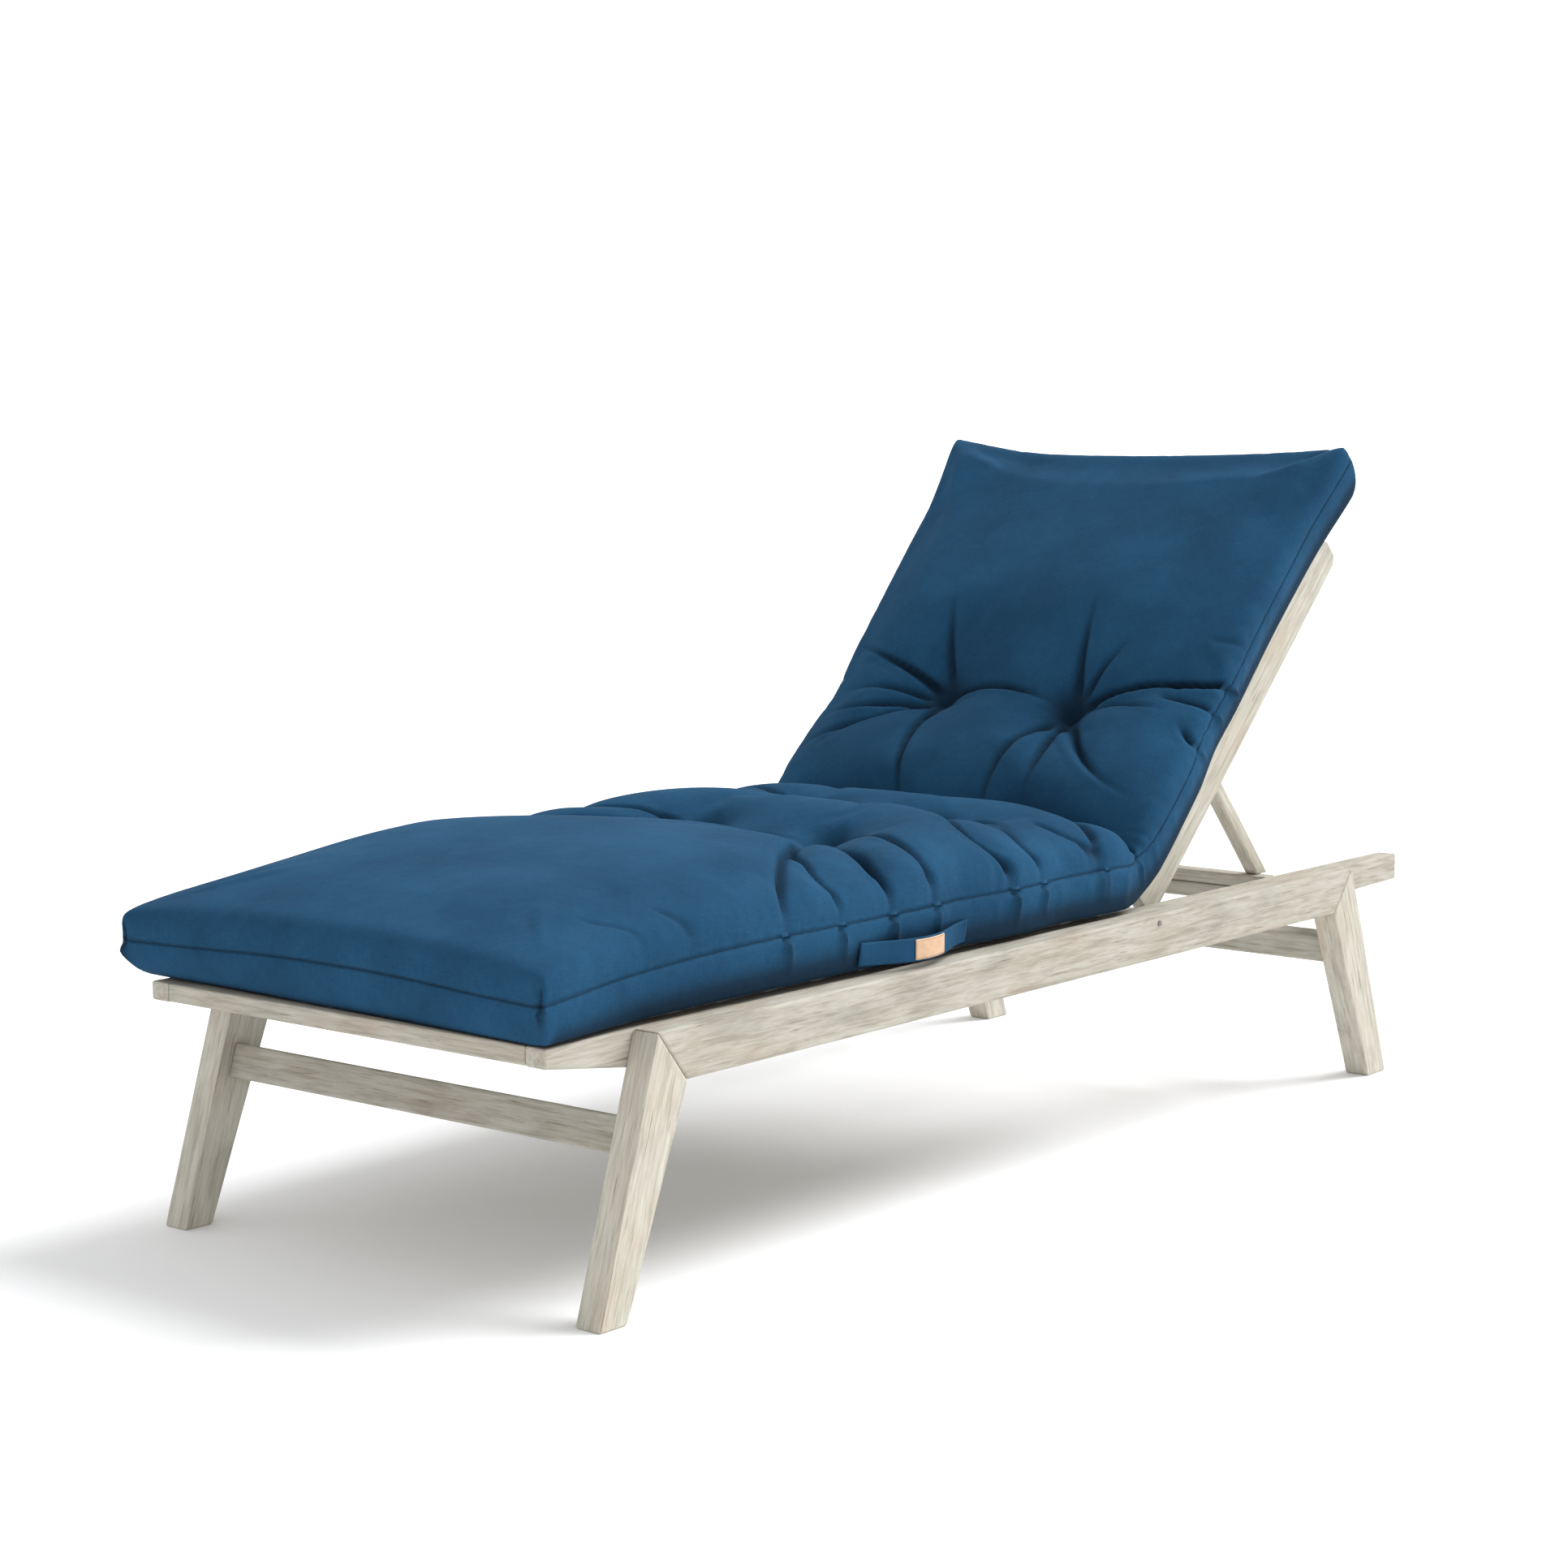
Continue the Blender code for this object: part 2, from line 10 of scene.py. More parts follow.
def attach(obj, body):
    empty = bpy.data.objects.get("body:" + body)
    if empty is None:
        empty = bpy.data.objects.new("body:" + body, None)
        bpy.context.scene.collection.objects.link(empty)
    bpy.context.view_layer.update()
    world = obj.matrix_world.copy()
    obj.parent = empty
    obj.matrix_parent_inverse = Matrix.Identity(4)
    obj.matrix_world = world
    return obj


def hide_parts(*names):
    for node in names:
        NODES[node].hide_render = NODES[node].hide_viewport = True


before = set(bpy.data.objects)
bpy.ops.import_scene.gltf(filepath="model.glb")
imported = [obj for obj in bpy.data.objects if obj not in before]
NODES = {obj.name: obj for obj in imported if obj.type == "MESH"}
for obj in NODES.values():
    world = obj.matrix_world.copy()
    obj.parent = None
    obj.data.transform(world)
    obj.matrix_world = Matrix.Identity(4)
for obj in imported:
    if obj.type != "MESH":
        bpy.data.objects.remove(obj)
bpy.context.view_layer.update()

# Cushion: its driving sizes in metres, most of them the solid's own
CUSHION_LENGTH = 1.884
CUSHION_START = -0.8840
CUSHION_HALF = 0.330
CUSHION_LIFT = 0.3043
BACK_ANGLE = radians(44.2)
BACK_CORNER_Y = 0.2443
BEND_RADIUS = 0.16
BACK_FROM = 1.0
BACK_BLEND = 0.30

# Its outline: flared corners, ends drawn in and shifted, a waist on the back, cut corners
CORNER_FLARE = 0.010
FLARE_REACH = 0.16
FOOT_DRAWN_IN = 0.012
HEAD_DRAWN_IN = 0.024
FOOT_DRIFT = -0.014
FOOT_DRIFT_REACH = 0.9
HEAD_DRIFT = -0.020
HEAD_DRIFT_REACH = 0.7
BACK_WAIST = 0.0105
BACK_WAIST_WALL = 0.4
WAIST_FROM = (1.05, 0.15)
WAIST_TO = (1.52, 0.33)
CORNER_ROUND = 0.005
HEAD_CORNER_ROUND = 0.022
FAR_CORNER_LIFT = 0.008
FAR_CORNER_REACH = 0.10

# The seam: its height over the underside, with what is added along the cushion
SEAM_AT_CORNER = 0.045
SEAM_END_RISE = 0.007
SEAM_END_REACH = 0.30
SEAM_SEAT_RISE = 0.0195
SEAM_SEAT_REACH = 0.40
SEAM_BACK_DROP = 0.009
SEAM_HEAD_DROP = 0.006
SEAM_HEAD_REACH = 0.25
SEAM_HEAD_NEAR = 0.011

# The upper side: a steep wall over the seam, then the swell up to the crown
WALL_RISE = 0.028
HEAD_WALL_EXTRA = 0.012
WALL_REACH = 0.022
HEAD_WALL_REACH = 0.055
WALL_POWER = 2.6
WALL_CLOTH = 0.025
CORNER_WALL_POWER = 5.0
CORNER_WALL_REACH = 0.10
SEAT_POWER = 2.9
BACK_POWER = 2.3
END_DOME = 0.24
END_POWER = 2.3
HEAD_DOME = 0.34
HEAD_POWER = 1.7
SEAT_POWER_TO_BACK = 0.3

# The underside: how far it curls in from the seam, and where its sole starts
UNDER_DOME = 0.036
UNDER_DOME_BACK = 0.018
UNDER_DOME_NEAR = 0.013
UNDER_CORNER_POWER = 2.2
UNDER_CORNER_REACH = 0.2
UNDER_END_REACH = 0.12
UNDER_CLOTH = 1.2
SOLE_FROM = 0.05

# How a row of tufts bows towards the sides and draws them in
ROW_BOW = 0.22
ROW_BOW_AT = 0.60
ROW_BOW_SPREAD = 0.22
ROW_DRAW_IN = 0.007
ROW_DRAW_SPREAD = 0.05

# Crown of the cushion above its underside, along its middle line: path from the foot end, height
CROWN_PATH = (0.00, 0.42, 0.72, 0.84, 0.935, 1.03, 1.125, 1.24, 1.385, 1.58, 1.884)
CROWN_HEIGHT = (0.118, 0.153, 0.122, 0.152, 0.120, 0.138, 0.066, 0.112, 0.092, 0.108, 0.084)
TUFT_ROWS = (0.72, 0.935, 1.125, 1.385)

# Tufts: path, across, depth of the pit
TUFTS = (
    (0.725, 0.105, 0.045), (0.725, -0.105, 0.045),
    (0.940, 0.105, 0.045), (0.940, -0.105, 0.045),
    (1.125, 0.100, 0.040), (1.125, -0.105, 0.040),
    (1.385, 0.098, 0.050), (1.395, -0.120, 0.048),
)
TUFT_SPREAD = 0.034
BACK_TUFT_SPREAD = 0.045
TUFT_PIT = 0.015
BOWL_SHARE = 0.6
PIT_SHARE = 0.6
# Painted shade around each tuft: its reach on the seat and on the back, and its strength
TUFT_SHADE = 0.020
BACK_TUFT_SHADE = 0.030
TUFT_PAINTED_SHADE = 0.010

# Creases: points as (path, across), depth, half width, lip beside it
CREASES = (
    # seat, right side
    (((0.715, 0.115), (0.60, 0.165), (0.52, 0.215), (0.416, 0.303), (0.390, 0.331)), 0.012, 0.011, 0.35),
    (((0.620, 0.150), (0.54, 0.206), (0.484, 0.303), (0.486, 0.331)), 0.012, 0.010, 0.35),
    (((0.730, 0.110), (0.660, 0.160), (0.616, 0.246), (0.568, 0.317), (0.578, 0.331)), 0.014, 0.011, 0.40),
    (((0.735, 0.125), (0.690, 0.234), (0.650, 0.318), (0.662, 0.331)), 0.010, 0.011, 0.30),
    (((0.935, 0.110), (0.850, 0.190), (0.784, 0.271), (0.796, 0.320), (0.815, 0.331)), 0.014, 0.011, 0.40),
    (((0.945, 0.120), (0.920, 0.220), (0.860, 0.312), (0.876, 0.331)), 0.010, 0.010, 0.35),
    (((0.960, 0.240), (0.965, 0.320), (1.012, 0.331)), 0.007, 0.009, 0.25),
    (((1.120, 0.110), (1.050, 0.230), (1.000, 0.326)), 0.008, 0.012, 0.20),
    (((0.120, 0.260), (0.150, 0.312), (0.166, 0.331)), 0.0022, 0.010, 0.20),
    (((0.205, 0.290), (0.224, 0.324), (0.246, 0.331)), 0.0034, 0.009, 0.20),
    (((0.700, 0.080), (0.560, 0.020), (0.470, 0.000)), 0.006, 0.012, 0.20),
    (((0.950, 0.130), (0.960, 0.190), (0.900, 0.260)), 0.008, 0.011, 0.25),
    # seat, left side
    (((0.715, -0.115), (0.58, -0.19), (0.44, -0.300), (0.42, -0.331)), 0.012, 0.011, 0.35),
    (((0.725, -0.120), (0.640, -0.240), (0.560, -0.331)), 0.014, 0.011, 0.35),
    (((0.735, -0.130), (0.710, -0.230), (0.680, -0.331)), 0.010, 0.011, 0.30),
    (((0.935, -0.115), (0.850, -0.220), (0.770, -0.331)), 0.013, 0.011, 0.35),
    (((0.945, -0.125), (0.920, -0.230), (0.870, -0.331)), 0.010, 0.010, 0.30),
    (((0.950, -0.110), (1.000, -0.240), (0.985, -0.331)), 0.008, 0.010, 0.25),
    (((1.120, -0.110), (1.070, -0.230), (1.050, -0.331)), 0.008, 0.012, 0.20),
    # across the rows
    (((0.725, -0.100), (0.712, 0.000), (0.725, 0.100)), 0.012, 0.016, 0.20),
    (((0.940, -0.100), (0.930, 0.000), (0.940, 0.100)), 0.010, 0.015, 0.20),
    # back, left tuft
    (((1.405, -0.118), (1.470, -0.140), (1.570, -0.158)), 0.007, 0.011, 0.25),
    (((1.400, -0.125), (1.425, -0.190), (1.466, -0.310)), 0.013, 0.011, 0.45),
    (((1.395, -0.130), (1.388, -0.210), (1.380, -0.300)), 0.007, 0.009, 0.30),
    (((1.385, -0.130), (1.355, -0.215), (1.328, -0.305)), 0.009, 0.009, 0.35),
    (((1.380, -0.130), (1.320, -0.220), (1.262, -0.312)), 0.010, 0.011, 0.35),
    (((1.380, -0.124), (1.268, -0.113), (1.130, -0.070)), 0.009, 0.012, 0.25),
    # back, between the tufts
    (((1.397, -0.118), (1.407, -0.020), (1.387, 0.094)), 0.013, 0.012, 0.55),
    # back, right tuft
    (((1.395, 0.098), (1.476, 0.089), (1.575, 0.088)), 0.008, 0.011, 0.30),
    (((1.400, 0.104), (1.445, 0.130), (1.500, 0.172)), 0.007, 0.010, 0.30),
    (((1.392, 0.106), (1.416, 0.185), (1.436, 0.295), (1.450, 0.322)), 0.014, 0.010, 0.50),
    (((1.385, 0.110), (1.388, 0.208), (1.374, 0.275)), 0.008, 0.008, 0.35),
    (((1.404, 0.235), (1.404, 0.322)), 0.008, 0.008, 0.30),
    (((1.375, 0.098), (1.276, 0.118), (1.180, 0.122)), 0.010, 0.012, 0.30),
    (((1.370, 0.088), (1.244, 0.045), (1.120, 0.065)), 0.007, 0.012, 0.25),
    (((1.370, 0.106), (1.256, 0.200), (1.222, 0.290)), 0.010, 0.011, 0.60),
    (((1.364, 0.285), (1.340, 0.322)), 0.008, 0.008, 0.30),
    (((1.500, 0.270), (1.515, 0.322)), 0.0020, 0.010, 0.20),
    # lower row, in the bend
    (((1.125, 0.105), (1.150, 0.220), (1.120, 0.326)), 0.010, 0.012, 0.30),
    (((1.125, -0.105), (1.150, -0.220), (1.120, -0.326)), 0.010, 0.012, 0.30),
    (((1.125, -0.100), (1.115, 0.000), (1.125, 0.100)), 0.012, 0.015, 0.20),
)
CORNER_CUTS = 2
BROAD_SHARE = 0.38
BROAD_WIDTH = 1.7
SHARP_WIDTH = 0.40
CREASE_GAIN = 1.45
BACK_CREASE_GAIN = 1.5
BACK_CREASE_WIDTH = 1.25
CREASE_END = 0.030
CREASE_AT_SEAM = 0.4
CREASE_FADE = 0.75
CREASE_THIN = 0.6
LIP_SHARE = 0.5
LIP_AWAY = 2.1
LIP_WIDE = 1.3
LIP_REACH = 5
BROAD_AT_SEAM = 0.35
BROAD_SEAM_BLEND = 0.02
SHARP_AT_SEAM = 0.3
SHARP_SEAM_BLEND = 0.012
TOP_BLEND = 0.004
SEAM_REACHED = 0.319
FOLD_BELOW_FROM = 0.36
FOLD_BELOW_LEAN = 0.35
FOLD_BELOW_WIDTH = 0.55
FOLD_BELOW_REACH = 0.045
FOLD_BELOW_SHARE = 0.62
FOLD_BELOW_START = 0.010

# Beside the seam: level pressing, corner darts, painted shade in folds and underneath, groove, puckers
LEVEL_REACH = 0.009
LEVEL_BLEND = 0.002
DART_DEEP = 0.0050
DART_WIDE = 0.0034
# Painted shade along each dart, scaled by its depth
DART_PAINTED_SHADE = 1.3
DART_HALF_TALL = 0.022
DART_INWARD = 0.05
PAINTED_SHADE_FULL = 0.008
# Painted shade on the panels below the seam: where it starts on the sides and on the ends, how fast it
# grows, the blend between them, its strength
UNDER_SHADE_SIDE = 0.012
UNDER_SHADE_END = 0.033
UNDER_SHADE_RUN = 0.030
UNDER_SHADE_BLEND = 0.02
UNDER_SHADE_GAIN = 1.15
SEAM_GROOVE = 0.0012
BACK_SEAM_GROOVE = 0.0007
SEAM_GROOVE_WIDE = 0.0026
PUCKER_PITCH = 0.026
PUCKER_GAPS = (0.5, 1.7)
PUCKER_DEEP = 0.0016
PUCKER_GAIN = (0.3, 1.3)
PUCKER_WIDE = (0.005, 0.011)
PUCKER_REACH = (0.012, 0.040)
PUCKER_LEAN = 0.4
PUCKER_START = 0.009
PUCKER_SEED = 11
PUCKER_SHARES = (1.0, 0.9, 0.35, 0.4)
PUCKER_ROWS = (0.60, 1.50)
PUCKER_BLEND = (0.12, 0.2)
PUCKER_PAST_ROWS = 0.25

# Carry handle below the seam on the right: its route, and the bare patch on it
STRAP_PATH = (0.518, 0.724)
STRAP_WIDE = 0.028
STRAP_THICK = 0.0022
STRAP_HEIGHT = 0.0265
STRAP_DROOP = 0.0035
STRAP_BULGE = 0.016
STRAP_CLEAR = 0.0010
STRAP_HANG = 0.7
STRAP_RIM = 0.0010
STRAP_ALONG = 72
STRAP_ACROSS = 16
STRAP_HEM = 0.0032
HEM_PROUD = 0.0006
STITCH_PITCH = 0.0036
STITCH_LONG = 0.0024
STITCH_RADIUS = 0.00028
STITCH_PROUD = 0.0001
ROUTE_STEPS = 60
HEM_STITCHES = (0.01, 0.99)
END_STITCHES = (0.015, 0.085, 0.915, 0.985)
PATCH_SHARE = (0.389, 0.667)
PATCH_TALL = 0.024
PATCH_THICK = 0.0012
PATCH_RIM = 0.0006
PATCH_AT_RIM = 0.35
PATCH_STEPS = (24, 12)
PATCH_STITCH_IN = 0.0016
PATCH_STITCH_END = 0.008

# Inflating the cover: its cloth is longer near the tufts, and moves less near the seam and the foot end
SIM_FRAMES = 20
SIM_QUALITY = 5
SIM_PRESSURE = 3.0
SIM_GROWTH = -0.05
SIM_GROWTH_REACH = 0.15
SIM_EDGE = 0.070
SIM_FOOT_SHARE = 0.35
SIM_FOOT_END = 0.35
SIM_FOOT_BLEND = 0.25
SIM_UNDER_SHARE = 0.5
SIM_UNDER_EDGE = 0.03
SIM_CAP = 0.012
SEAM_HELD = 0.001
TUFT_HELD = 0.014

# Meshing: where the rows of points lie, and the facts that each point carries
NEAR_SEAM = (0.0, 0.0001, 0.0005, 0.0013, 0.0030, 0.0057, 0.0098, 0.0153, 0.0225, 0.0300)
PITCH = 0.0082
UNDER_STEPS = (0.010, 0.050, 0.14, 0.30, 0.58, 1.0)
FACTS = ("along", "across", "seam_up", "seam_down")
MAP_SLACK = 0.02

# Colours
BLUE_LIGHT = (0.0145, 0.069, 0.141)
BLUE_DARK = (0.0105, 0.049, 0.103)
# Painted shade: the dark blue mixed into the cover in creases, around tufts, at darts and underneath
BLUE_PAINTED_SHADE = (0.007, 0.018, 0.034)
TAN_DARK = (0.50, 0.32, 0.20)
TAN_LIGHT = (0.60, 0.40, 0.26)
THREAD_BROWN = (0.16, 0.085, 0.04)
STEEL_DARK = (0.14, 0.13, 0.12)
STEEL_LIGHT = (0.24, 0.22, 0.20)
WOOD_GREY = (0.415, 0.400, 0.345)
WOOD_PALE = (0.500, 0.475, 0.410)
WOOD_TAN = (0.480, 0.420, 0.350)
WOOD_WHITE = (0.560, 0.540, 0.480)
# Painted shade: darker copies of the wood for the rails and the pieces that run across, and for the back
# stiles
RAIL_PAINTED_SHADE_TONE = 0.84
STILE_PAINTED_SHADE_TONE = 0.95
FLOOR_WHITE = (0.97, 0.975, 0.985)

# Wood: slopes that its grain follows, from run and rise, and what shifts the grain from piece to piece
LEG_LEAN = atan2(0.0955, 0.304)
PROP_LEAN = atan2(-0.1305, 0.114)
GRAIN_SHIFT = (7.3, 31.0, 3.1)

# Floor and light: sky brightness by height above the horizon (sine), and the key
FLOOR_REACH = 60.0
SKY = ((0.12, 1.09), (0.40, 0.80))
KEY_FROM = (1.5, 2.9, 3.5)
KEY_STRENGTH = 3.6
KEY_BREADTH = radians(36)

# Camera, in the same frame as the part
CAMERA_AT = (2.56328, -3.18046, 0.97616)
CAMERA_YAW = radians(39.85425)
CAMERA_PITCH = radians(-7.02671)
CAMERA_ROLL = radians(-0.41219)
CAMERA_LENS = 73.35
CAMERA_SENSOR = 36
CAMERA_CLIP = (0.05, 200)
CAMERA_SHIFT = (-0.0002, -0.0026)


# Node helpers

class Nodes:
    """Short calls for building one material."""

    def __init__(self, name):
        self.material = bpy.data.materials.new(name)
        self.material.use_nodes = True
        self.tree = self.material.node_tree
        self.shader = self.tree.nodes["Principled BSDF"]

    def add(self, kind, **settings):
        node = self.tree.nodes.new(kind)
        for key, value in settings.items():
            setattr(node, key, value)
        return node

    def link(self, source, target):
        self.tree.links.new(source, target)

    def coordinates(self, output="Object", scale=(1, 1, 1), rotation=(0, 0, 0)):
        mapping = self.add("ShaderNodeMapping")
        mapping.inputs["Scale"].default_value = scale
        mapping.inputs["Rotation"].default_value = rotation
        self.link(self.add("ShaderNodeTexCoord").outputs[output], mapping.inputs["Vector"])
        return mapping.outputs["Vector"]

    def noise(self, vector, scale, detail=4.0, roughness=0.55, distortion=0.0):
        node = self.add("ShaderNodeTexNoise")
        node.inputs["Scale"].default_value = scale
        node.inputs["Detail"].default_value = detail
        node.inputs["Roughness"].default_value = roughness
        node.inputs["Distortion"].default_value = distortion
        self.link(vector, node.inputs["Vector"])
        return node.outputs["Fac"]

    def wave(self, vector, scale, direction):
        node = self.add("ShaderNodeTexWave", wave_type="BANDS", bands_direction=direction)
        node.inputs["Scale"].default_value = scale
        self.link(vector, node.inputs["Vector"])
        return node.outputs["Fac"]

    def ramp(self, value, stops):
        node = self.add("ShaderNodeValToRGB")
        elements = node.color_ramp.elements
        for place, colour in stops[2:]:
            elements.new(place)
        for element, (place, colour) in zip(elements, stops):
            element.position = place
            element.color = (*colour, 1.0)
        self.link(value, node.inputs["Fac"])
        return node.outputs["Color"]

    def mix(self, share, first, second, blend="MIX"):
        node = self.add("ShaderNodeMix", data_type="RGBA", blend_type=blend)
        for socket, value in ((node.inputs[0], share), (node.inputs[6], first), (node.inputs[7], second)):
            if hasattr(value, "is_linked"):
                self.link(value, socket)
            elif isinstance(value, tuple):
                socket.default_value = (*value, 1.0)
            else:
                socket.default_value = value
        return node.outputs[2]

    def maths(self, operation, first, second=0.0):
        node = self.add("ShaderNodeMath", operation=operation)
        for socket, value in zip(node.inputs, (first, second)):
            if hasattr(value, "is_linked"):
                self.link(value, socket)
            else:
                socket.default_value = value
        return node.outputs[0]

    def bump(self, heights):
        """Bumps laid one on another: each is a height, its distance and its strength."""
        normal = None
        for height, distance, strength in heights:
            node = self.add("ShaderNodeBump")
            node.inputs["Distance"].default_value = distance
            node.inputs["Strength"].default_value = strength
            self.link(height, node.inputs["Height"])
            if normal:
                self.link(normal, node.inputs["Normal"])
            normal = node.outputs["Normal"]
        self.link(normal, self.shader.inputs["Normal"])

    def set(self, values):
        for name, value in values.items():
            self.shader.inputs[name].default_value = value


# Materials

def fabric(name):
    """Woven cotton and polyester: mottled colour, painted shade in creases, around tufts, at darts and
    underneath, fine plain weave, soft sheen.
    """
    made = Nodes(name)
    cloth = made.coordinates("UV")
    place = made.coordinates("Object")
    mottle = made.noise(place, 7.0, detail=5.0, roughness=0.6)
    slub = made.noise(made.coordinates("UV", (90, 900, 1)), 1.0, detail=3.0)
    slub_across = made.noise(made.coordinates("UV", (900, 90, 1)), 1.0, detail=3.0)
    colour_and_painted_shade = made.ramp(mottle, ((0.34, BLUE_DARK), (0.66, BLUE_LIGHT)))
    # Painted shade: the cloth darkens towards the dark blue by the per-point painted shade attribute
    painted_shade_amount = made.add("ShaderNodeAttribute", attribute_name="painted_shade").outputs["Fac"]
    colour_and_painted_shade = made.mix(made.maths("MULTIPLY", painted_shade_amount, 0.85), colour_and_painted_shade, BLUE_PAINTED_SHADE)
    threads = made.mix(0.5, slub, slub_across)
    tone = made.ramp(threads, ((0.35, (0.86, 0.86, 0.86)), (0.65, (1.12, 1.12, 1.12))))
    made.link(made.mix(1.0, colour_and_painted_shade, tone, "MULTIPLY"), made.shader.inputs["Base Color"])
    warp = made.wave(cloth, 210.0, "X")
    weft = made.wave(cloth, 210.0, "Y")
    weave = made.maths("MULTIPLY", warp, weft)
    crinkle = made.noise(place, 60.0, roughness=0.6)
    rumple = made.noise(place, 24.0, detail=3.0, roughness=0.5, distortion=0.6)
    made.bump(((rumple, 0.0040, 0.32), (crinkle, 0.0012, 0.45), (weave, 0.0003, 0.30)))
    made.set({"Roughness": 0.95, "Sheen Weight": 0.02, "Sheen Roughness": 0.4,
              "Sheen Tint": (0.4, 0.7, 1.0, 1.0), "Specular IOR Level": 0.08})
    return made.material


def timber(name, tilt=0.0, along="Y", tone=1.0):
    """Whitewashed, weathered wood with its grain along one axis; tilt turns the grain about X, and a tone
    below 1 makes a darker copy as painted shade.
    """
    made = Nodes(name)
    turn = (-tilt, 0, 0) if along == "Y" else (0, 0, pi / 2)
    place = made.coordinates("Object", rotation=turn)
    piece = made.add("ShaderNodeObjectInfo").outputs["Random"]
    shift = made.add("ShaderNodeVectorMath", operation="ADD")
    made.link(place, shift.inputs[0])
    offset = made.add("ShaderNodeCombineXYZ")
    for socket, reach in zip(offset.inputs, GRAIN_SHIFT):
        made.link(made.maths("MULTIPLY", piece, reach), socket)
    made.link(offset.outputs[0], shift.inputs[1])

    def grain(over, along_it, detail, roughness, distortion=0.0):
        mapping = made.add("ShaderNodeMapping")
        mapping.inputs["Scale"].default_value = (over, along_it, over)
        made.link(shift.outputs[0], mapping.inputs["Vector"])
        return made.noise(mapping.outputs["Vector"], 1.0, detail, roughness, distortion)

    broad = grain(14, 5, 3.0, 0.55, 0.4)
    tint = grain(30, 11, 3.0, 0.5, 0.5)
    streak = grain(230, 15, 5.0, 0.62, 0.35)
    crack = grain(420, 17, 3.0, 0.55, 0.3)
    fibre = grain(1300, 60, 3.0, 0.6)
    body = made.ramp(broad, ((0.34, WOOD_GREY), (0.50, WOOD_PALE), (0.66, WOOD_TAN)))
    washed = made.mix(made.ramp(tint, ((0.38, (0.0,) * 3), (0.62, (0.8,) * 3))), body, WOOD_WHITE)
    stripes = ((0.36, (0.76, 0.74, 0.71)), (0.50, (0.94, 0.93, 0.915)), (0.62, (1.03,) * 3))
    grained = made.mix(1.0, washed, made.ramp(streak, stripes), "MULTIPLY")
    dark = made.ramp(crack, ((0.30, (0.64, 0.61, 0.56)), (0.37, (1.0, 1.0, 1.0))))
    cracked = made.mix(1.0, grained, dark, "MULTIPLY")
    # A tone below 1 darkens this copy of the wood as painted shade
    low, high = 0.92 * tone, 1.04 * tone
    fine = made.ramp(fibre, ((0.3, (low, low, low * 0.99)), (0.7, (high, high, high * 0.99))))
    made.link(made.mix(1.0, cracked, fine, "MULTIPLY"), made.shader.inputs["Base Color"])
    made.bump(((streak, 0.0010, 0.45), (fibre, 0.0003, 0.4)))
    made.set({"Roughness": 0.85, "Specular IOR Level": 0.2})
    return made.material


def dark_steel():
    """Dull, slightly worn bolt heads."""
    made = Nodes("bolt_steel_look")
    place = made.coordinates("Object")
    worn = made.noise(place, 900.0, 3.0)
    made.link(made.ramp(worn, ((0.3, STEEL_DARK), (0.7, STEEL_LIGHT))), made.shader.inputs["Base Color"])
    made.bump(((worn, 0.0002, 0.5),))
    made.set({"Metallic": 0.5, "Roughness": 0.6})
    return made.material


def tan_leather():
    """Smooth tan patch with a fine pebble."""
    made = Nodes("patch_leather")
    place = made.coordinates("Object")
    cloud = made.noise(place, 120.0, 4.0, 0.6)
    pebble = made.noise(place, 1600.0, 3.0, 0.5)
    made.link(made.ramp(cloud, ((0.3, TAN_DARK), (0.7, TAN_LIGHT))), made.shader.inputs["Base Color"])
    made.bump(((pebble, 0.0002, 0.5),))
    made.set({"Roughness": 0.6, "Specular IOR Level": 0.35})
    return made.material


def plain(name, colour, roughness):
    made = Nodes(name)
    made.set({"Base Color": (*colour, 1.0), "Roughness": roughness})
    return made.material


# Cushion form

def smooth(share):
    share = np.clip(share, 0, 1)
    return share * share * (3 - 2 * share)


def dome(inset, reach, power):
    """From 0 at the seam to 1 at reach, steep at first, as a filled cover swells."""
    return (1 - (1 - np.clip(inset / reach, 0, 1)) ** power) ** (1 / power)


def spine(along):
    """Place and upward direction on the underside's line: flat, a bend, then up the back."""
    straight = BACK_CORNER_Y - CUSHION_START - BEND_RADIUS * tan(BACK_ANGLE / 2)
    turn = np.clip((along - straight) / BEND_RADIUS, 0, BACK_ANGLE)
    before = np.minimum(along, straight)
    past = along - before - BEND_RADIUS * turn
    y = CUSHION_START + before + BEND_RADIUS * np.sin(turn) + past * np.cos(turn)
    z = CUSHION_LIFT + BEND_RADIUS * (1 - np.cos(turn)) + past * np.sin(turn)
    return y, z, -np.sin(turn), np.cos(turn)


def from_ends(along):
    return np.minimum(along, CUSHION_LENGTH - along)


def from_side(along, x):
    return half_width(along, x) - np.abs(x)


def waist(along):
    """1 on the stretch of the back that is drawn in, 0 away from it."""
    (start, rise), (end, fall) = WAIST_FROM, WAIST_TO
    return smooth((along - start) / rise) * (1 - smooth((along - end) / fall))


def half_width(along, x):
    """Half width at a place along the cushion; the corner on the right of the head end is cut rounder."""
    half = CUSHION_HALF - BACK_WAIST * waist(along)
    for row in TUFT_ROWS:
        half = half - ROW_DRAW_IN * np.exp(-((along - row) / ROW_DRAW_SPREAD) ** 2)
    near_end = from_ends(along)
    half = half + CORNER_FLARE * (1 - smooth(near_end / FLARE_REACH))
    corner = np.where((along > CUSHION_LENGTH / 2) & (x > 0), HEAD_CORNER_ROUND, CORNER_ROUND)
    inside = np.clip(1 - near_end / corner, 0, 1)
    return half - corner * (1 - np.sqrt(1 - inside ** 2))


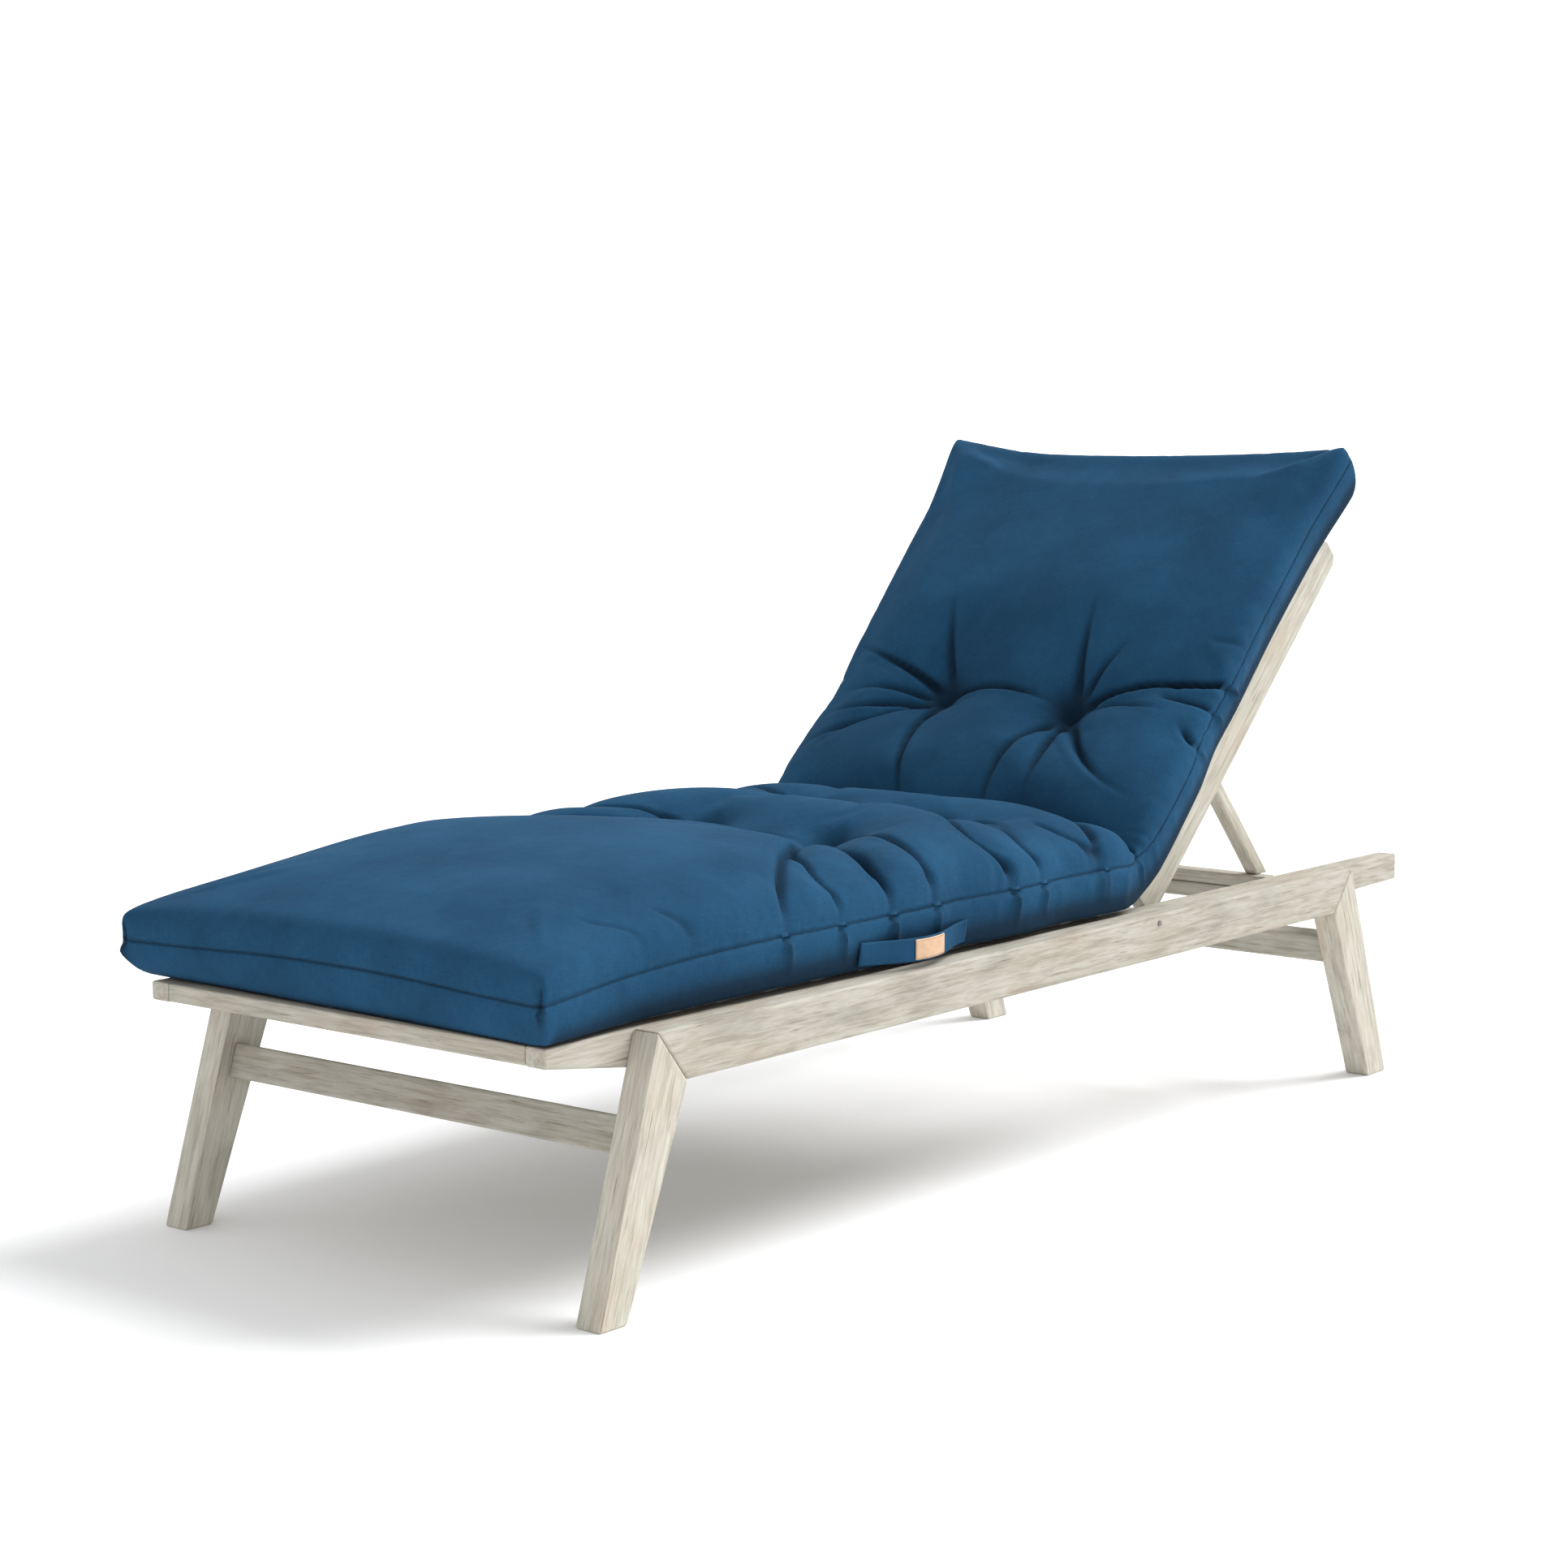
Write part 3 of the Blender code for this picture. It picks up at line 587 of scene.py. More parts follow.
def crown(along):
    """Height of the middle line, from hump to hump."""
    height = np.full_like(along, CROWN_HEIGHT[0])
    for start, end, low, high in zip(CROWN_PATH, CROWN_PATH[1:], CROWN_HEIGHT, CROWN_HEIGHT[1:]):
        here = low + (high - low) * smooth((along - start) / (end - start))
        height = np.where(along > start, here, height)
    return height


def near_head_lift(along, x):
    """The seam sits higher towards the right corner of the head end."""
    share = smooth((x + CUSHION_HALF) / (2 * CUSHION_HALF))
    return SEAM_HEAD_NEAR * share * (1 - smooth((CUSHION_LENGTH - along) / SEAM_HEAD_REACH))


def seam_height(along, x):
    """Height of the seam: it rises from the foot corners to the bend, and in the middle of each end."""
    height = SEAM_AT_CORNER + SEAM_END_RISE * smooth((CUSHION_HALF - np.abs(x)) / SEAM_END_REACH)
    height = height + SEAM_SEAT_RISE * (1 - (1 - np.clip(along / SEAM_SEAT_REACH, 0, 1)) ** 2)
    height = height - SEAM_BACK_DROP * smooth((along - BACK_FROM) / BACK_BLEND)
    height = height - SEAM_HEAD_DROP * (1 - smooth((CUSHION_LENGTH - along) / SEAM_HEAD_REACH))
    return height + near_head_lift(along, x)


def top_height(along, x):
    """Height of the upper side: the seam, the wall over it and the swell of the filling."""
    half = half_width(along, x)
    inset = half - np.abs(x)
    from_end = from_ends(along)
    seam = seam_height(along, x)
    rise = WALL_RISE + HEAD_WALL_EXTRA * smooth(1 - (CUSHION_LENGTH - along) / FLARE_REACH)
    rise = rise * (1 - BACK_WAIST_WALL * waist(along)) - near_head_lift(along, x)
    end_reach = WALL_REACH + (HEAD_WALL_REACH - WALL_REACH) * (along > CUSHION_LENGTH / 2)
    near_corner = 1 - smooth(np.maximum(inset, from_end) / CORNER_WALL_REACH)
    near_corner = near_corner * (along < CUSHION_LENGTH / 2)
    steep = WALL_POWER + (CORNER_WALL_POWER - WALL_POWER) * near_corner
    wall = rise * dome(np.minimum(inset, from_end * WALL_REACH / end_reach), WALL_REACH, steep)
    power = SEAT_POWER + (BACK_POWER - SEAT_POWER) * smooth((along - TUFT_ROWS[1]) / SEAT_POWER_TO_BACK)
    end_swell = np.where(along < CUSHION_LENGTH / 2, dome(from_end, END_DOME, END_POWER),
                         dome(from_end, HEAD_DOME, HEAD_POWER))
    swell = dome(inset, half, power) * end_swell
    bow = ROW_BOW * (x / CUSHION_HALF) ** 2 * np.exp(-((along - ROW_BOW_AT) / ROW_BOW_SPREAD) ** 2)
    return seam + wall + (crown(along + bow) - seam - wall) * swell


def surface(along, x, height):
    """Points at a height over the underside; the two ends are drawn in between their corners."""
    from_end = from_ends(along)
    at_foot = along < CUSHION_LENGTH / 2
    drawn_in = np.where(at_foot, FOOT_DRAWN_IN, -HEAD_DRAWN_IN)
    pull = drawn_in * np.clip(1 - (x / CUSHION_HALF) ** 2, 0, 1) * (1 - smooth(from_end / FLARE_REACH))
    corner = np.hypot(CUSHION_LENGTH - along, x + CUSHION_HALF)
    lift = FAR_CORNER_LIFT * np.exp(-(corner / FAR_CORNER_REACH) ** 2)
    y, z, ny, nz = spine(along + pull + lift)
    height = height * (1 + lift / SEAM_AT_CORNER / 2)
    drift = np.where(at_foot, FOOT_DRIFT * (1 - smooth(from_end / FOOT_DRIFT_REACH)),
                     HEAD_DRIFT * (1 - smooth(from_end / HEAD_DRIFT_REACH)))
    return np.stack((x + drift, y + height * ny, z + height * nz), axis=-1)


def under_dome(along, x):
    """How far the underside curls in from the seam; less on the right and on the back."""
    seat = UNDER_DOME + (UNDER_DOME_NEAR - UNDER_DOME) * smooth((x + CUSHION_HALF) / CUSHION_HALF)
    return seat + (UNDER_DOME_BACK - seat) * smooth((along - BACK_FROM) / BACK_BLEND)


def under_points(along, x, step):
    """A ring of the underside: step goes from 0 at the seam to 1 where the sole is flat."""
    inset = under_dome(along, x) * step
    near_corner = 1 - smooth(from_ends(along) / UNDER_CORNER_REACH)
    power = 2 + (UNDER_CORNER_POWER - 2) * near_corner * (along < BACK_FROM)
    height = seam_height(along, x) * (1 - dome(step, 1.0, power))
    way = np.where(along < CUSHION_LENGTH / 2, 1, -1)
    end_pull = inset * way * (1 - smooth(from_ends(along) / UNDER_END_REACH))
    return surface(along + end_pull, x * (1 - inset / CUSHION_HALF), height)


def seam_distance(inset):
    """How far up the wall a point is from the seam, measured on the cloth."""
    turned = np.arccos(1 - np.clip(inset / WALL_REACH, 0, 1))
    return WALL_CLOTH * turned + np.maximum(inset - WALL_REACH, 0)


def tuft_depth(along, x):
    """Each tuft is a wide bowl with a narrow pit in it."""
    depth = np.zeros_like(along)
    for row, across, deep in TUFTS:
        away = np.hypot(along - row, x - across)
        spread = TUFT_SPREAD if row < BACK_FROM else BACK_TUFT_SPREAD
        bowl, pit = np.exp(-(away / spread) ** 2), np.exp(-(away / TUFT_PIT) ** 2)
        depth += deep * (BOWL_SHARE * bowl + PIT_SHARE * pit)
    return depth


def curved(points):
    """The same line with its corners cut, and those cut again, so that a crease bends softly."""
    for _ in range(CORNER_CUTS):
        cut = [points[0]]
        for a, b in zip(points, points[1:]):
            cut += [(0.75 * a[0] + 0.25 * b[0], 0.75 * a[1] + 0.25 * b[1]),
                    (0.25 * a[0] + 0.75 * b[0], 0.25 * a[1] + 0.75 * b[1])]
        points = cut + [points[-1]]
    return points


def crease_depth(along, x, width_factor):
    """Troughs along the crease lines, each with a raised lip on its foot side."""
    depth = np.zeros_like(along)
    for points, deep, wide, lip in CREASES:
        points = curved(points)
        total = sum(np.hypot(b[0] - a[0], b[1] - a[1]) for a, b in zip(points, points[1:]))
        best = np.full_like(along, 1e3)
        side = np.zeros_like(along)
        share = np.zeros_like(along)
        run = 0.0
        for a, b in zip(points, points[1:]):
            line = np.array(b) - np.array(a)
            length = np.hypot(*line)
            t = np.clip(((along - a[0]) * line[0] + (x - a[1]) * line[1]) / length ** 2, 0, 1)
            off_a, off_x = along - a[0] - t * line[0], x - a[1] - t * line[1]
            off = np.hypot(off_a, off_x)
            closer = off < best
            best = np.where(closer, off, best)
            side = np.where(closer, off_a, side)
            share = np.where(closer, run + t * length, share)
            run += length
        reaches_seam = abs(points[-1][1]) > SEAM_REACHED
        left = 1 - share / total
        fade = smooth(share / CREASE_END)
        at_seam = smooth((total - share) / CREASE_END + CREASE_AT_SEAM)
        fade = fade * (at_seam if reaches_seam else smooth(left / CREASE_FADE))
        wide = wide * width_factor * (1.0 if reaches_seam else CREASE_THIN + (1 - CREASE_THIN) * left)
        on_back = points[0][0] > BACK_FROM
        wide = wide * (BACK_CREASE_WIDTH if on_back else 1.0)
        deep = deep * (BACK_CREASE_GAIN if on_back else 1.0)
        trough = np.exp(-(best / wide) ** 2)
        ridge = np.exp(-((side + LIP_AWAY * wide) / (LIP_WIDE * wide)) ** 2) * (best < LIP_REACH * wide)
        depth += CREASE_GAIN * deep * fade * (trough - LIP_SHARE * lip * ridge)
    return depth


def fold_below(along, x, down):
    """Where a crease meets the side seam, it runs on a little way down the panel below."""
    depth = np.zeros_like(along)
    for points, deep, wide, _ in CREASES:
        end_along, end_x = points[-1]
        if abs(end_x) < SEAM_REACHED or end_along < FOLD_BELOW_FROM:
            continue
        off = (along - end_along - FOLD_BELOW_LEAN * down) / (FOLD_BELOW_WIDTH * wide)
        start = 0.5 + 0.5 * smooth(down / FOLD_BELOW_START)
        fall = (down > 0) * start * (1 - smooth(down / FOLD_BELOW_REACH))
        depth += FOLD_BELOW_SHARE * deep * np.exp(-off ** 2) * fall * (x * end_x > 0)
    return depth


def pucker_depth(place, away, seed):
    """Small folds that run off the seam, at uneven places along it."""
    chance = np.random.RandomState(seed)
    depth = np.zeros_like(place)
    spot = chance.uniform(0, PUCKER_PITCH)
    while spot < CUSHION_LENGTH:
        deep = PUCKER_DEEP * chance.uniform(*PUCKER_GAIN)
        wide = chance.uniform(*PUCKER_WIDE)
        reach = chance.uniform(*PUCKER_REACH)
        lean = chance.uniform(-PUCKER_LEAN, PUCKER_LEAN)
        off = (place - spot - lean * away) / wide
        depth += deep * np.exp(-off ** 2) * np.exp(-(away / reach) ** 2) * smooth(away / PUCKER_START)
        spot += PUCKER_PITCH * chance.uniform(*PUCKER_GAPS)
    return depth


def stations(length, pitch):
    """Places of the rows of points: close together beside the seam, even in between."""
    inner = length - 2 * NEAR_SEAM[-1]
    count = round(inner / pitch)
    middle = [NEAR_SEAM[-1] + inner * n / count for n in range(1, count)]
    return np.array(list(NEAR_SEAM) + middle + [length - step for step in reversed(NEAR_SEAM)])


def cushion_cage():
    """The cover as one closed mesh, with each point's place on the flat cloth kept in attributes."""
    rows, across = stations(CUSHION_LENGTH, PITCH), stations(2 * CUSHION_HALF, PITCH) - CUSHION_HALF
    count, last = len(rows), len(across) - 1
    along = np.repeat(rows[:, None], last + 1, axis=1)
    x = across[None, :] * half_width(along, across[None, :]) / CUSHION_HALF
    points = [surface(along, x, top_height(along, x)).reshape(-1, 3)]
    inset = np.minimum(from_side(along, x), from_ends(along))
    facts = [np.stack((along, x, seam_distance(np.maximum(inset, 0)), np.zeros_like(x)), -1).reshape(-1, 4)]
    number = np.arange(count * (last + 1)).reshape(count, last + 1)
    faces = [(number[r, n], number[r, n + 1], number[r + 1, n + 1], number[r + 1, n])
             for r in range(count - 1) for n in range(last)]
    loop = [(0, n) for n in range(last)] + [(r, last) for r in range(count - 1)]
    loop += [(count - 1, n) for n in range(last, 0, -1)] + [(r, 0) for r in range(count - 1, 0, -1)]
    spots = np.array(loop)
    loop_along, loop_x = along[spots[:, 0], spots[:, 1]], x[spots[:, 0], spots[:, 1]]
    above = number[spots[:, 0], spots[:, 1]]
    base = count * (last + 1)
    for step in UNDER_STEPS:
        ring = under_points(loop_along, loop_x, step)
        points.append(ring)
        down = seam_height(loop_along, loop_x) * acos(1 - step) / (pi / 2) * UNDER_CLOTH
        facts.append(np.stack((loop_along, loop_x, np.zeros_like(loop_x), down), -1))
        below = base + np.arange(len(loop))
        faces += [(above[k], above[(k + 1) % len(loop)], below[(k + 1) % len(loop)], below[k])
                  for k in range(len(loop))]
        above, base = below, base + len(loop)
    sole = {spot: above[k] for k, spot in enumerate(loop)}
    for r in range(1, count - 2):
        faces.append((sole[r, 0], sole[r, last], sole[r + 1, last], sole[r + 1, 0]))
    foot = [sole[0, n] for n in range(last + 1)]
    head = [sole[count - 1, n] for n in range(last, -1, -1)]
    faces += [foot + [sole[1, last], sole[1, 0]], head + [sole[count - 2, 0], sole[count - 2, last]]]
    mesh = bpy.data.meshes.new("cushion_cover")
    mesh.from_pydata(np.concatenate(points).tolist(), [], [[int(v) for v in face] for face in faces])
    facts = np.concatenate(facts).astype(np.float32)
    for column, name in enumerate(FACTS):
        mesh.attributes.new(name, "FLOAT", "POINT").data.foreach_set("value", facts[:, column])
    return mesh


def read(data, key, *width):
    """One number for each item, or a row of width numbers."""
    values = np.zeros((len(data), *width), np.float32)
    data.foreach_get(key, values.ravel())
    return values.astype(float)


def cloth_places(mesh):
    """Each point's place along and across the cloth, and its distance above and below the seam."""
    return [read(mesh.attributes[name].data, "value") for name in FACTS]


def places(mesh):
    return read(mesh.vertices, "co", 3)


def move_to(mesh, points):
    mesh.vertices.foreach_set("co", points.astype(np.float32).ravel())
    mesh.update()


def outward_ways(mesh):
    """Each point's own normal, turned level beside the seam so that nothing there folds over itself."""
    along, x, up, down = cloth_places(mesh)
    near = 1 - smooth(np.where(down > 0, down, up) / LEVEL_REACH)
    side = 1 / (np.maximum(from_side(along, x), 0) + LEVEL_BLEND)
    end = 1 / (np.maximum(from_ends(along), 0) + LEVEL_BLEND)
    way = np.where(along < CUSHION_LENGTH / 2, -1, 1)
    ny, nz = spine(along)[2:]
    level = np.stack((side * np.sign(x), end * way * nz, -end * way * ny), -1)
    level /= np.linalg.norm(level, axis=1)[:, None]
    normals = read(mesh.vertex_normals, "vector", 3)
    ways = normals * (1 - near)[:, None] + level * near[:, None]
    return ways / np.linalg.norm(ways, axis=1)[:, None]


def press_in(mesh, depth):
    """Moves each point inward by its depth."""
    move_to(mesh, places(mesh) - outward_ways(mesh) * depth[:, None])


def main_depth(mesh):
    """Tufts, and the broad part of each crease."""
    along, x, up, down = cloth_places(mesh)
    fade = BROAD_AT_SEAM + (1 - BROAD_AT_SEAM) * smooth(up / BROAD_SEAM_BLEND)
    folds = BROAD_SHARE * crease_depth(along, x, BROAD_WIDTH) * fade
    return (down == 0) * (tuft_depth(along, x) + folds)


def dart_depth(mesh):
    """The short upright dart at each of the four corners."""
    depth = np.zeros(len(mesh.vertices))
    points = places(mesh)
    for end_along, sign_end in ((0.0, -1), (CUSHION_LENGTH, 1)):
        for sign in (-1, 1):
            half = float(half_width(np.array(end_along), np.array(sign)))
            corner = surface(np.array(end_along), np.array(sign * half),
                             seam_height(np.array(end_along), np.array(sign * half)))
            ny, nz = (float(v) for v in spine(np.array(end_along))[2:])
            lengthways = np.array((0, nz, -ny)) * sign_end
            upward = np.array((0, ny, nz))
            outward = (np.array((sign, 0, 0)) + lengthways) / 2 ** 0.5
            sideways = np.cross(outward, upward)
            offset = points - corner
            aside, height, inward = offset @ sideways, offset @ upward, -(offset @ outward)
            line = np.exp(-(aside / DART_WIDE) ** 2)
            depth += DART_DEEP * line * np.exp(-(height / DART_HALF_TALL) ** 4) * (inward < DART_INWARD)
    return depth


def fine_depth(mesh):
    """Sharp creases, seam groove, puckers and darts; also stores for each point its painted shade, from how
    deep it lies in a crease, near a tuft, in a dart or on the underside.
    """
    along, x, up, down = cloth_places(mesh)
    on_top = smooth(1 - down / TOP_BLEND)
    fade = SHARP_AT_SEAM + (1 - SHARP_AT_SEAM) * smooth(up / SHARP_SEAM_BLEND)
    folds = on_top * (1 - BROAD_SHARE) * crease_depth(along, x, SHARP_WIDTH) * fade
    folds = folds + fold_below(along, x, down)
    darts = dart_depth(mesh)
    depth = folds.copy()
    # Painted shade around each tuft
    for row, across, _ in TUFTS:
        reach = TUFT_SHADE if row < BACK_FROM else BACK_TUFT_SHADE
        folds = folds + on_top * TUFT_PAINTED_SHADE * np.exp(-(np.hypot(along - row, x - across) / reach) ** 2)
    # Painted shade on the panels below the seam, deepening downward
    sideways = smooth((from_ends(along) - from_side(along, x)) / UNDER_SHADE_BLEND)
    start = UNDER_SHADE_END + (UNDER_SHADE_SIDE - UNDER_SHADE_END) * sideways
    folds = folds + PAINTED_SHADE_FULL * UNDER_SHADE_GAIN * smooth((down - start) / UNDER_SHADE_RUN)
    # Painted shade: stored per point, for the cloth colour to darken by
    mesh.attributes.new("painted_shade", "FLOAT", "POINT").data.foreach_set(
        "value", np.clip((folds + DART_PAINTED_SHADE * darts) / PAINTED_SHADE_FULL, 0, 1).astype(np.float32))
    away = np.where(down > 0, down, up)
    groove = SEAM_GROOVE + (BACK_SEAM_GROOVE - SEAM_GROOVE) * smooth((along - BACK_FROM) / BACK_BLEND)
    depth += darts + groove * np.exp(-(away / SEAM_GROOVE_WIDE) ** 2)
    on_side = from_side(along, x) < from_ends(along)
    place = np.where(on_side, along, x + CUSHION_HALF)
    past_first, past_last = (smooth((along - row) / blend) for row, blend in zip(PUCKER_ROWS, PUCKER_BLEND))
    beside_rows = PUCKER_PAST_ROWS + (1 - PUCKER_PAST_ROWS) * past_first * (1 - past_last)
    for chosen, seed in ((on_side & (x > 0), 0), (on_side & (x < 0), 1),
                         (~on_side & (along < BACK_FROM), 2), (~on_side & (along > BACK_FROM), 3)):
        folds = pucker_depth(place, away, PUCKER_SEED + seed) * PUCKER_SHARES[seed]
        if seed < 2:
            folds = folds * beside_rows
        depth += chosen * folds
    return depth


def swell(item):
    """Inflates the cover as cloth held at its sole, its seam and its tufts, and caps how far it moves."""
    mesh = item.data
    along, x, up, down = cloth_places(mesh)
    held = (down > SOLE_FROM) | ((up < SEAM_HELD) & (down == 0))
    loose = 0
    for row, across, _ in TUFTS:
        away = np.hypot(along - row, x - across)
        held |= (down == 0) & (away < TUFT_HELD)
        loose = loose + np.exp(-(away / SIM_GROWTH_REACH) ** 2)
    pins = item.vertex_groups.new(name="held")
    pins.add([int(v) for v in np.nonzero(held)[0]], 1.0, "REPLACE")
    longer = item.vertex_groups.new(name="longer")
    for number, weight in enumerate(np.clip(loose, 0, 1) * (down == 0)):
        longer.add([number], float(weight), "REPLACE")
    before = places(mesh)
    cloth = item.modifiers.new("inflate", "CLOTH")
    settings = cloth.settings
    settings.vertex_group_mass = "held"
    settings.use_pressure = True
    settings.uniform_pressure_force = SIM_PRESSURE
    settings.vertex_group_shrink = "longer"
    settings.shrink_min = 0.0
    settings.shrink_max = SIM_GROWTH
    settings.effector_weights.gravity = 0
    settings.quality = SIM_QUALITY
    cloth.point_cache.frame_end = SIM_FRAMES
    scene = bpy.context.scene
    for number in range(1, SIM_FRAMES + 1):
        scene.frame_set(number)
    after = places(item.evaluated_get(bpy.context.evaluated_depsgraph_get()).data)
    item.modifiers.remove(cloth)
    scene.frame_set(1)
    step = after - before
    size = np.linalg.norm(step, axis=1)
    step *= np.minimum(1, SIM_CAP / np.maximum(size, 1e-9))[:, None]
    share = SIM_FOOT_SHARE + (1 - SIM_FOOT_SHARE) * smooth((along - SIM_FOOT_END) / SIM_FOOT_BLEND)
    under = smooth(down / SIM_UNDER_EDGE) * SIM_UNDER_SHARE
    step *= (share * np.where(down > 0, under, smooth(up / SIM_EDGE)))[:, None]
    move_to(mesh, before + step)


def lay_cloth_map(mesh):
    """Texture places in metres on the flat cloth, so that the weave keeps its size everywhere."""
    along, x, up, down = cloth_places(mesh)
    on_side = from_side(along, x) < from_ends(along)
    rise = up - np.minimum(from_side(along, x), from_ends(along))
    outward = down + np.maximum(-rise, -MAP_SLACK) * (down == 0)
    u = x + np.where(on_side, np.sign(x) * outward, 0)
    v = along + np.where(on_side, 0, np.where(along < BACK_FROM, -outward, outward))
    corners = np.zeros(len(mesh.loops), np.int32)
    mesh.loops.foreach_get("vertex_index", corners)
    layer = mesh.uv_layers.new(name="cloth")
    layer.data.foreach_set("uv", np.stack((u, v), -1)[corners].astype(np.float32).ravel())


def add_object(name, data):
    item = bpy.data.objects.new(name, data)
    bpy.context.scene.collection.objects.link(item)
    return item


def add_piece(name, mesh, finish):
    mesh.materials.append(finish)
    return add_object(name, mesh)


def subdivided(item, levels=1):
    modifier = item.modifiers.new("smooth", "SUBSURF")
    modifier.levels = modifier.render_levels = levels
    made = bpy.data.meshes.new_from_object(item.evaluated_get(bpy.context.evaluated_depsgraph_get()))
    item.modifiers.clear()
    item.data = made


def make_cushion():
    """The cover: a cage pressed in at tufts and creases, swelled as cloth, then its fine folds."""
    item = add_piece("cushion_cover", cushion_cage(), fabric("blue_cotton_look"))
    press_in(item.data, main_depth(item.data))
    swell(item)
    subdivided(item)
    press_in(item.data, fine_depth(item.data))
    lay_cloth_map(item.data)
    item.data.shade_smooth()
    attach(item, "root")
    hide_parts("cushion")


def wall_point(along, height):
    """A point of the right side below the seam, at a height over the underside."""
    side = np.array(CUSHION_HALF)
    level = min(max(height / float(seam_height(along, side)), 0.0), 1.0)
    inset = float(under_dome(along, side)) * (1 - (1 - (1 - level) ** 2) ** 0.5)
    return float(half_width(along, side)) - inset


def strap_point(share, across, lift):
    """On the handle: share along it, across from its lower edge (0) to its upper (1), lift off its
    inner face."""
    along = np.array(STRAP_PATH[0] + (STRAP_PATH[1] - STRAP_PATH[0]) * share)
    bow = sin(pi * share)
    middle = STRAP_HEIGHT - STRAP_DROOP * bow
    height = middle + STRAP_WIDE * (across - 0.5)
    snug = wall_point(along, height)
    straight = wall_point(along, middle + STRAP_WIDE / 2)
    x = snug + (straight - snug) * bow ** STRAP_HANG + STRAP_CLEAR + STRAP_BULGE * bow ** 2 + lift
    return Vector(surface(along, np.array(x), np.array(height)).tolist())


def strip(name, shares, levels, lifts, finish):
    """A closed band: lifts gives, for a level, the lift of its inner and its outer face."""
    rings = []
    for share in shares:
        ring = [strap_point(share, level, lifts(share, level)[0]) for level in levels]
        ring += [strap_point(share, level, lifts(share, level)[1]) for level in reversed(levels)]
        rings.append(ring)
    count = len(rings[0])
    points = [point for ring in rings for point in ring]
    faces = []
    for first in range(0, (len(rings) - 1) * count, count):
        for n in range(count):
            following = (n + 1) % count
            faces.append((first + n, first + following, first + count + following, first + count + n))
    for first, way in ((0, -1), ((len(rings) - 1) * count, 1)):
        for n in range(count // 2 - 1):
            faces.append((first + n, first + n + 1, first + count - 2 - n, first + count - 1 - n)[::way])
    mesh = bpy.data.meshes.new(name)
    mesh.from_pydata(points, [], faces)
    mesh.shade_smooth()
    item = add_piece(name, mesh, finish)
    tidy_normals(mesh)
    return item


def tidy_normals(mesh):
    form = bmesh.new()
    form.from_mesh(mesh)
    bmesh.ops.recalc_face_normals(form, faces=form.faces)
    form.to_mesh(mesh)
    form.free()


def stitches(name, runs, finish):
    """Short round-ended stitches along runs; each run is a list of points a stitch pitch apart."""
    form = bmesh.new()
    for points in runs:
        for first, second in zip(points, points[1:]):
            direction = (second - first).normalized()
            centre = (first + second) / 2
            turn = direction.to_track_quat("Z", "Y").to_matrix().to_4x4()
            made = bmesh.ops.create_uvsphere(form, u_segments=6, v_segments=4, radius=STITCH_RADIUS)
            stretch = Matrix.Diagonal((1, 1, STITCH_LONG / 2 / STITCH_RADIUS, 1))
            placed = Matrix.Translation(centre) @ turn @ stretch
            bmesh.ops.transform(form, verts=made["verts"], matrix=placed)
    mesh = bpy.data.meshes.new(name)
    form.to_mesh(mesh)
    form.free()
    mesh.shade_smooth()
    return add_piece(name, mesh, finish)


def even(low, high, steps):
    return [low + (high - low) * n / steps for n in range(steps + 1)]


def stitch_run(start, end, lift):
    """Points a stitch pitch apart between two (share, across) places on the handle."""
    def route(steps):
        shares, levels = even(start[0], end[0], steps), even(start[1], end[1], steps)
        return [strap_point(share, level, lift) for share, level in zip(shares, levels)]

    fine = route(ROUTE_STEPS)
    length = sum((b - a).length for a, b in zip(fine, fine[1:]))
    return route(max(2, round(length / STITCH_PITCH)))


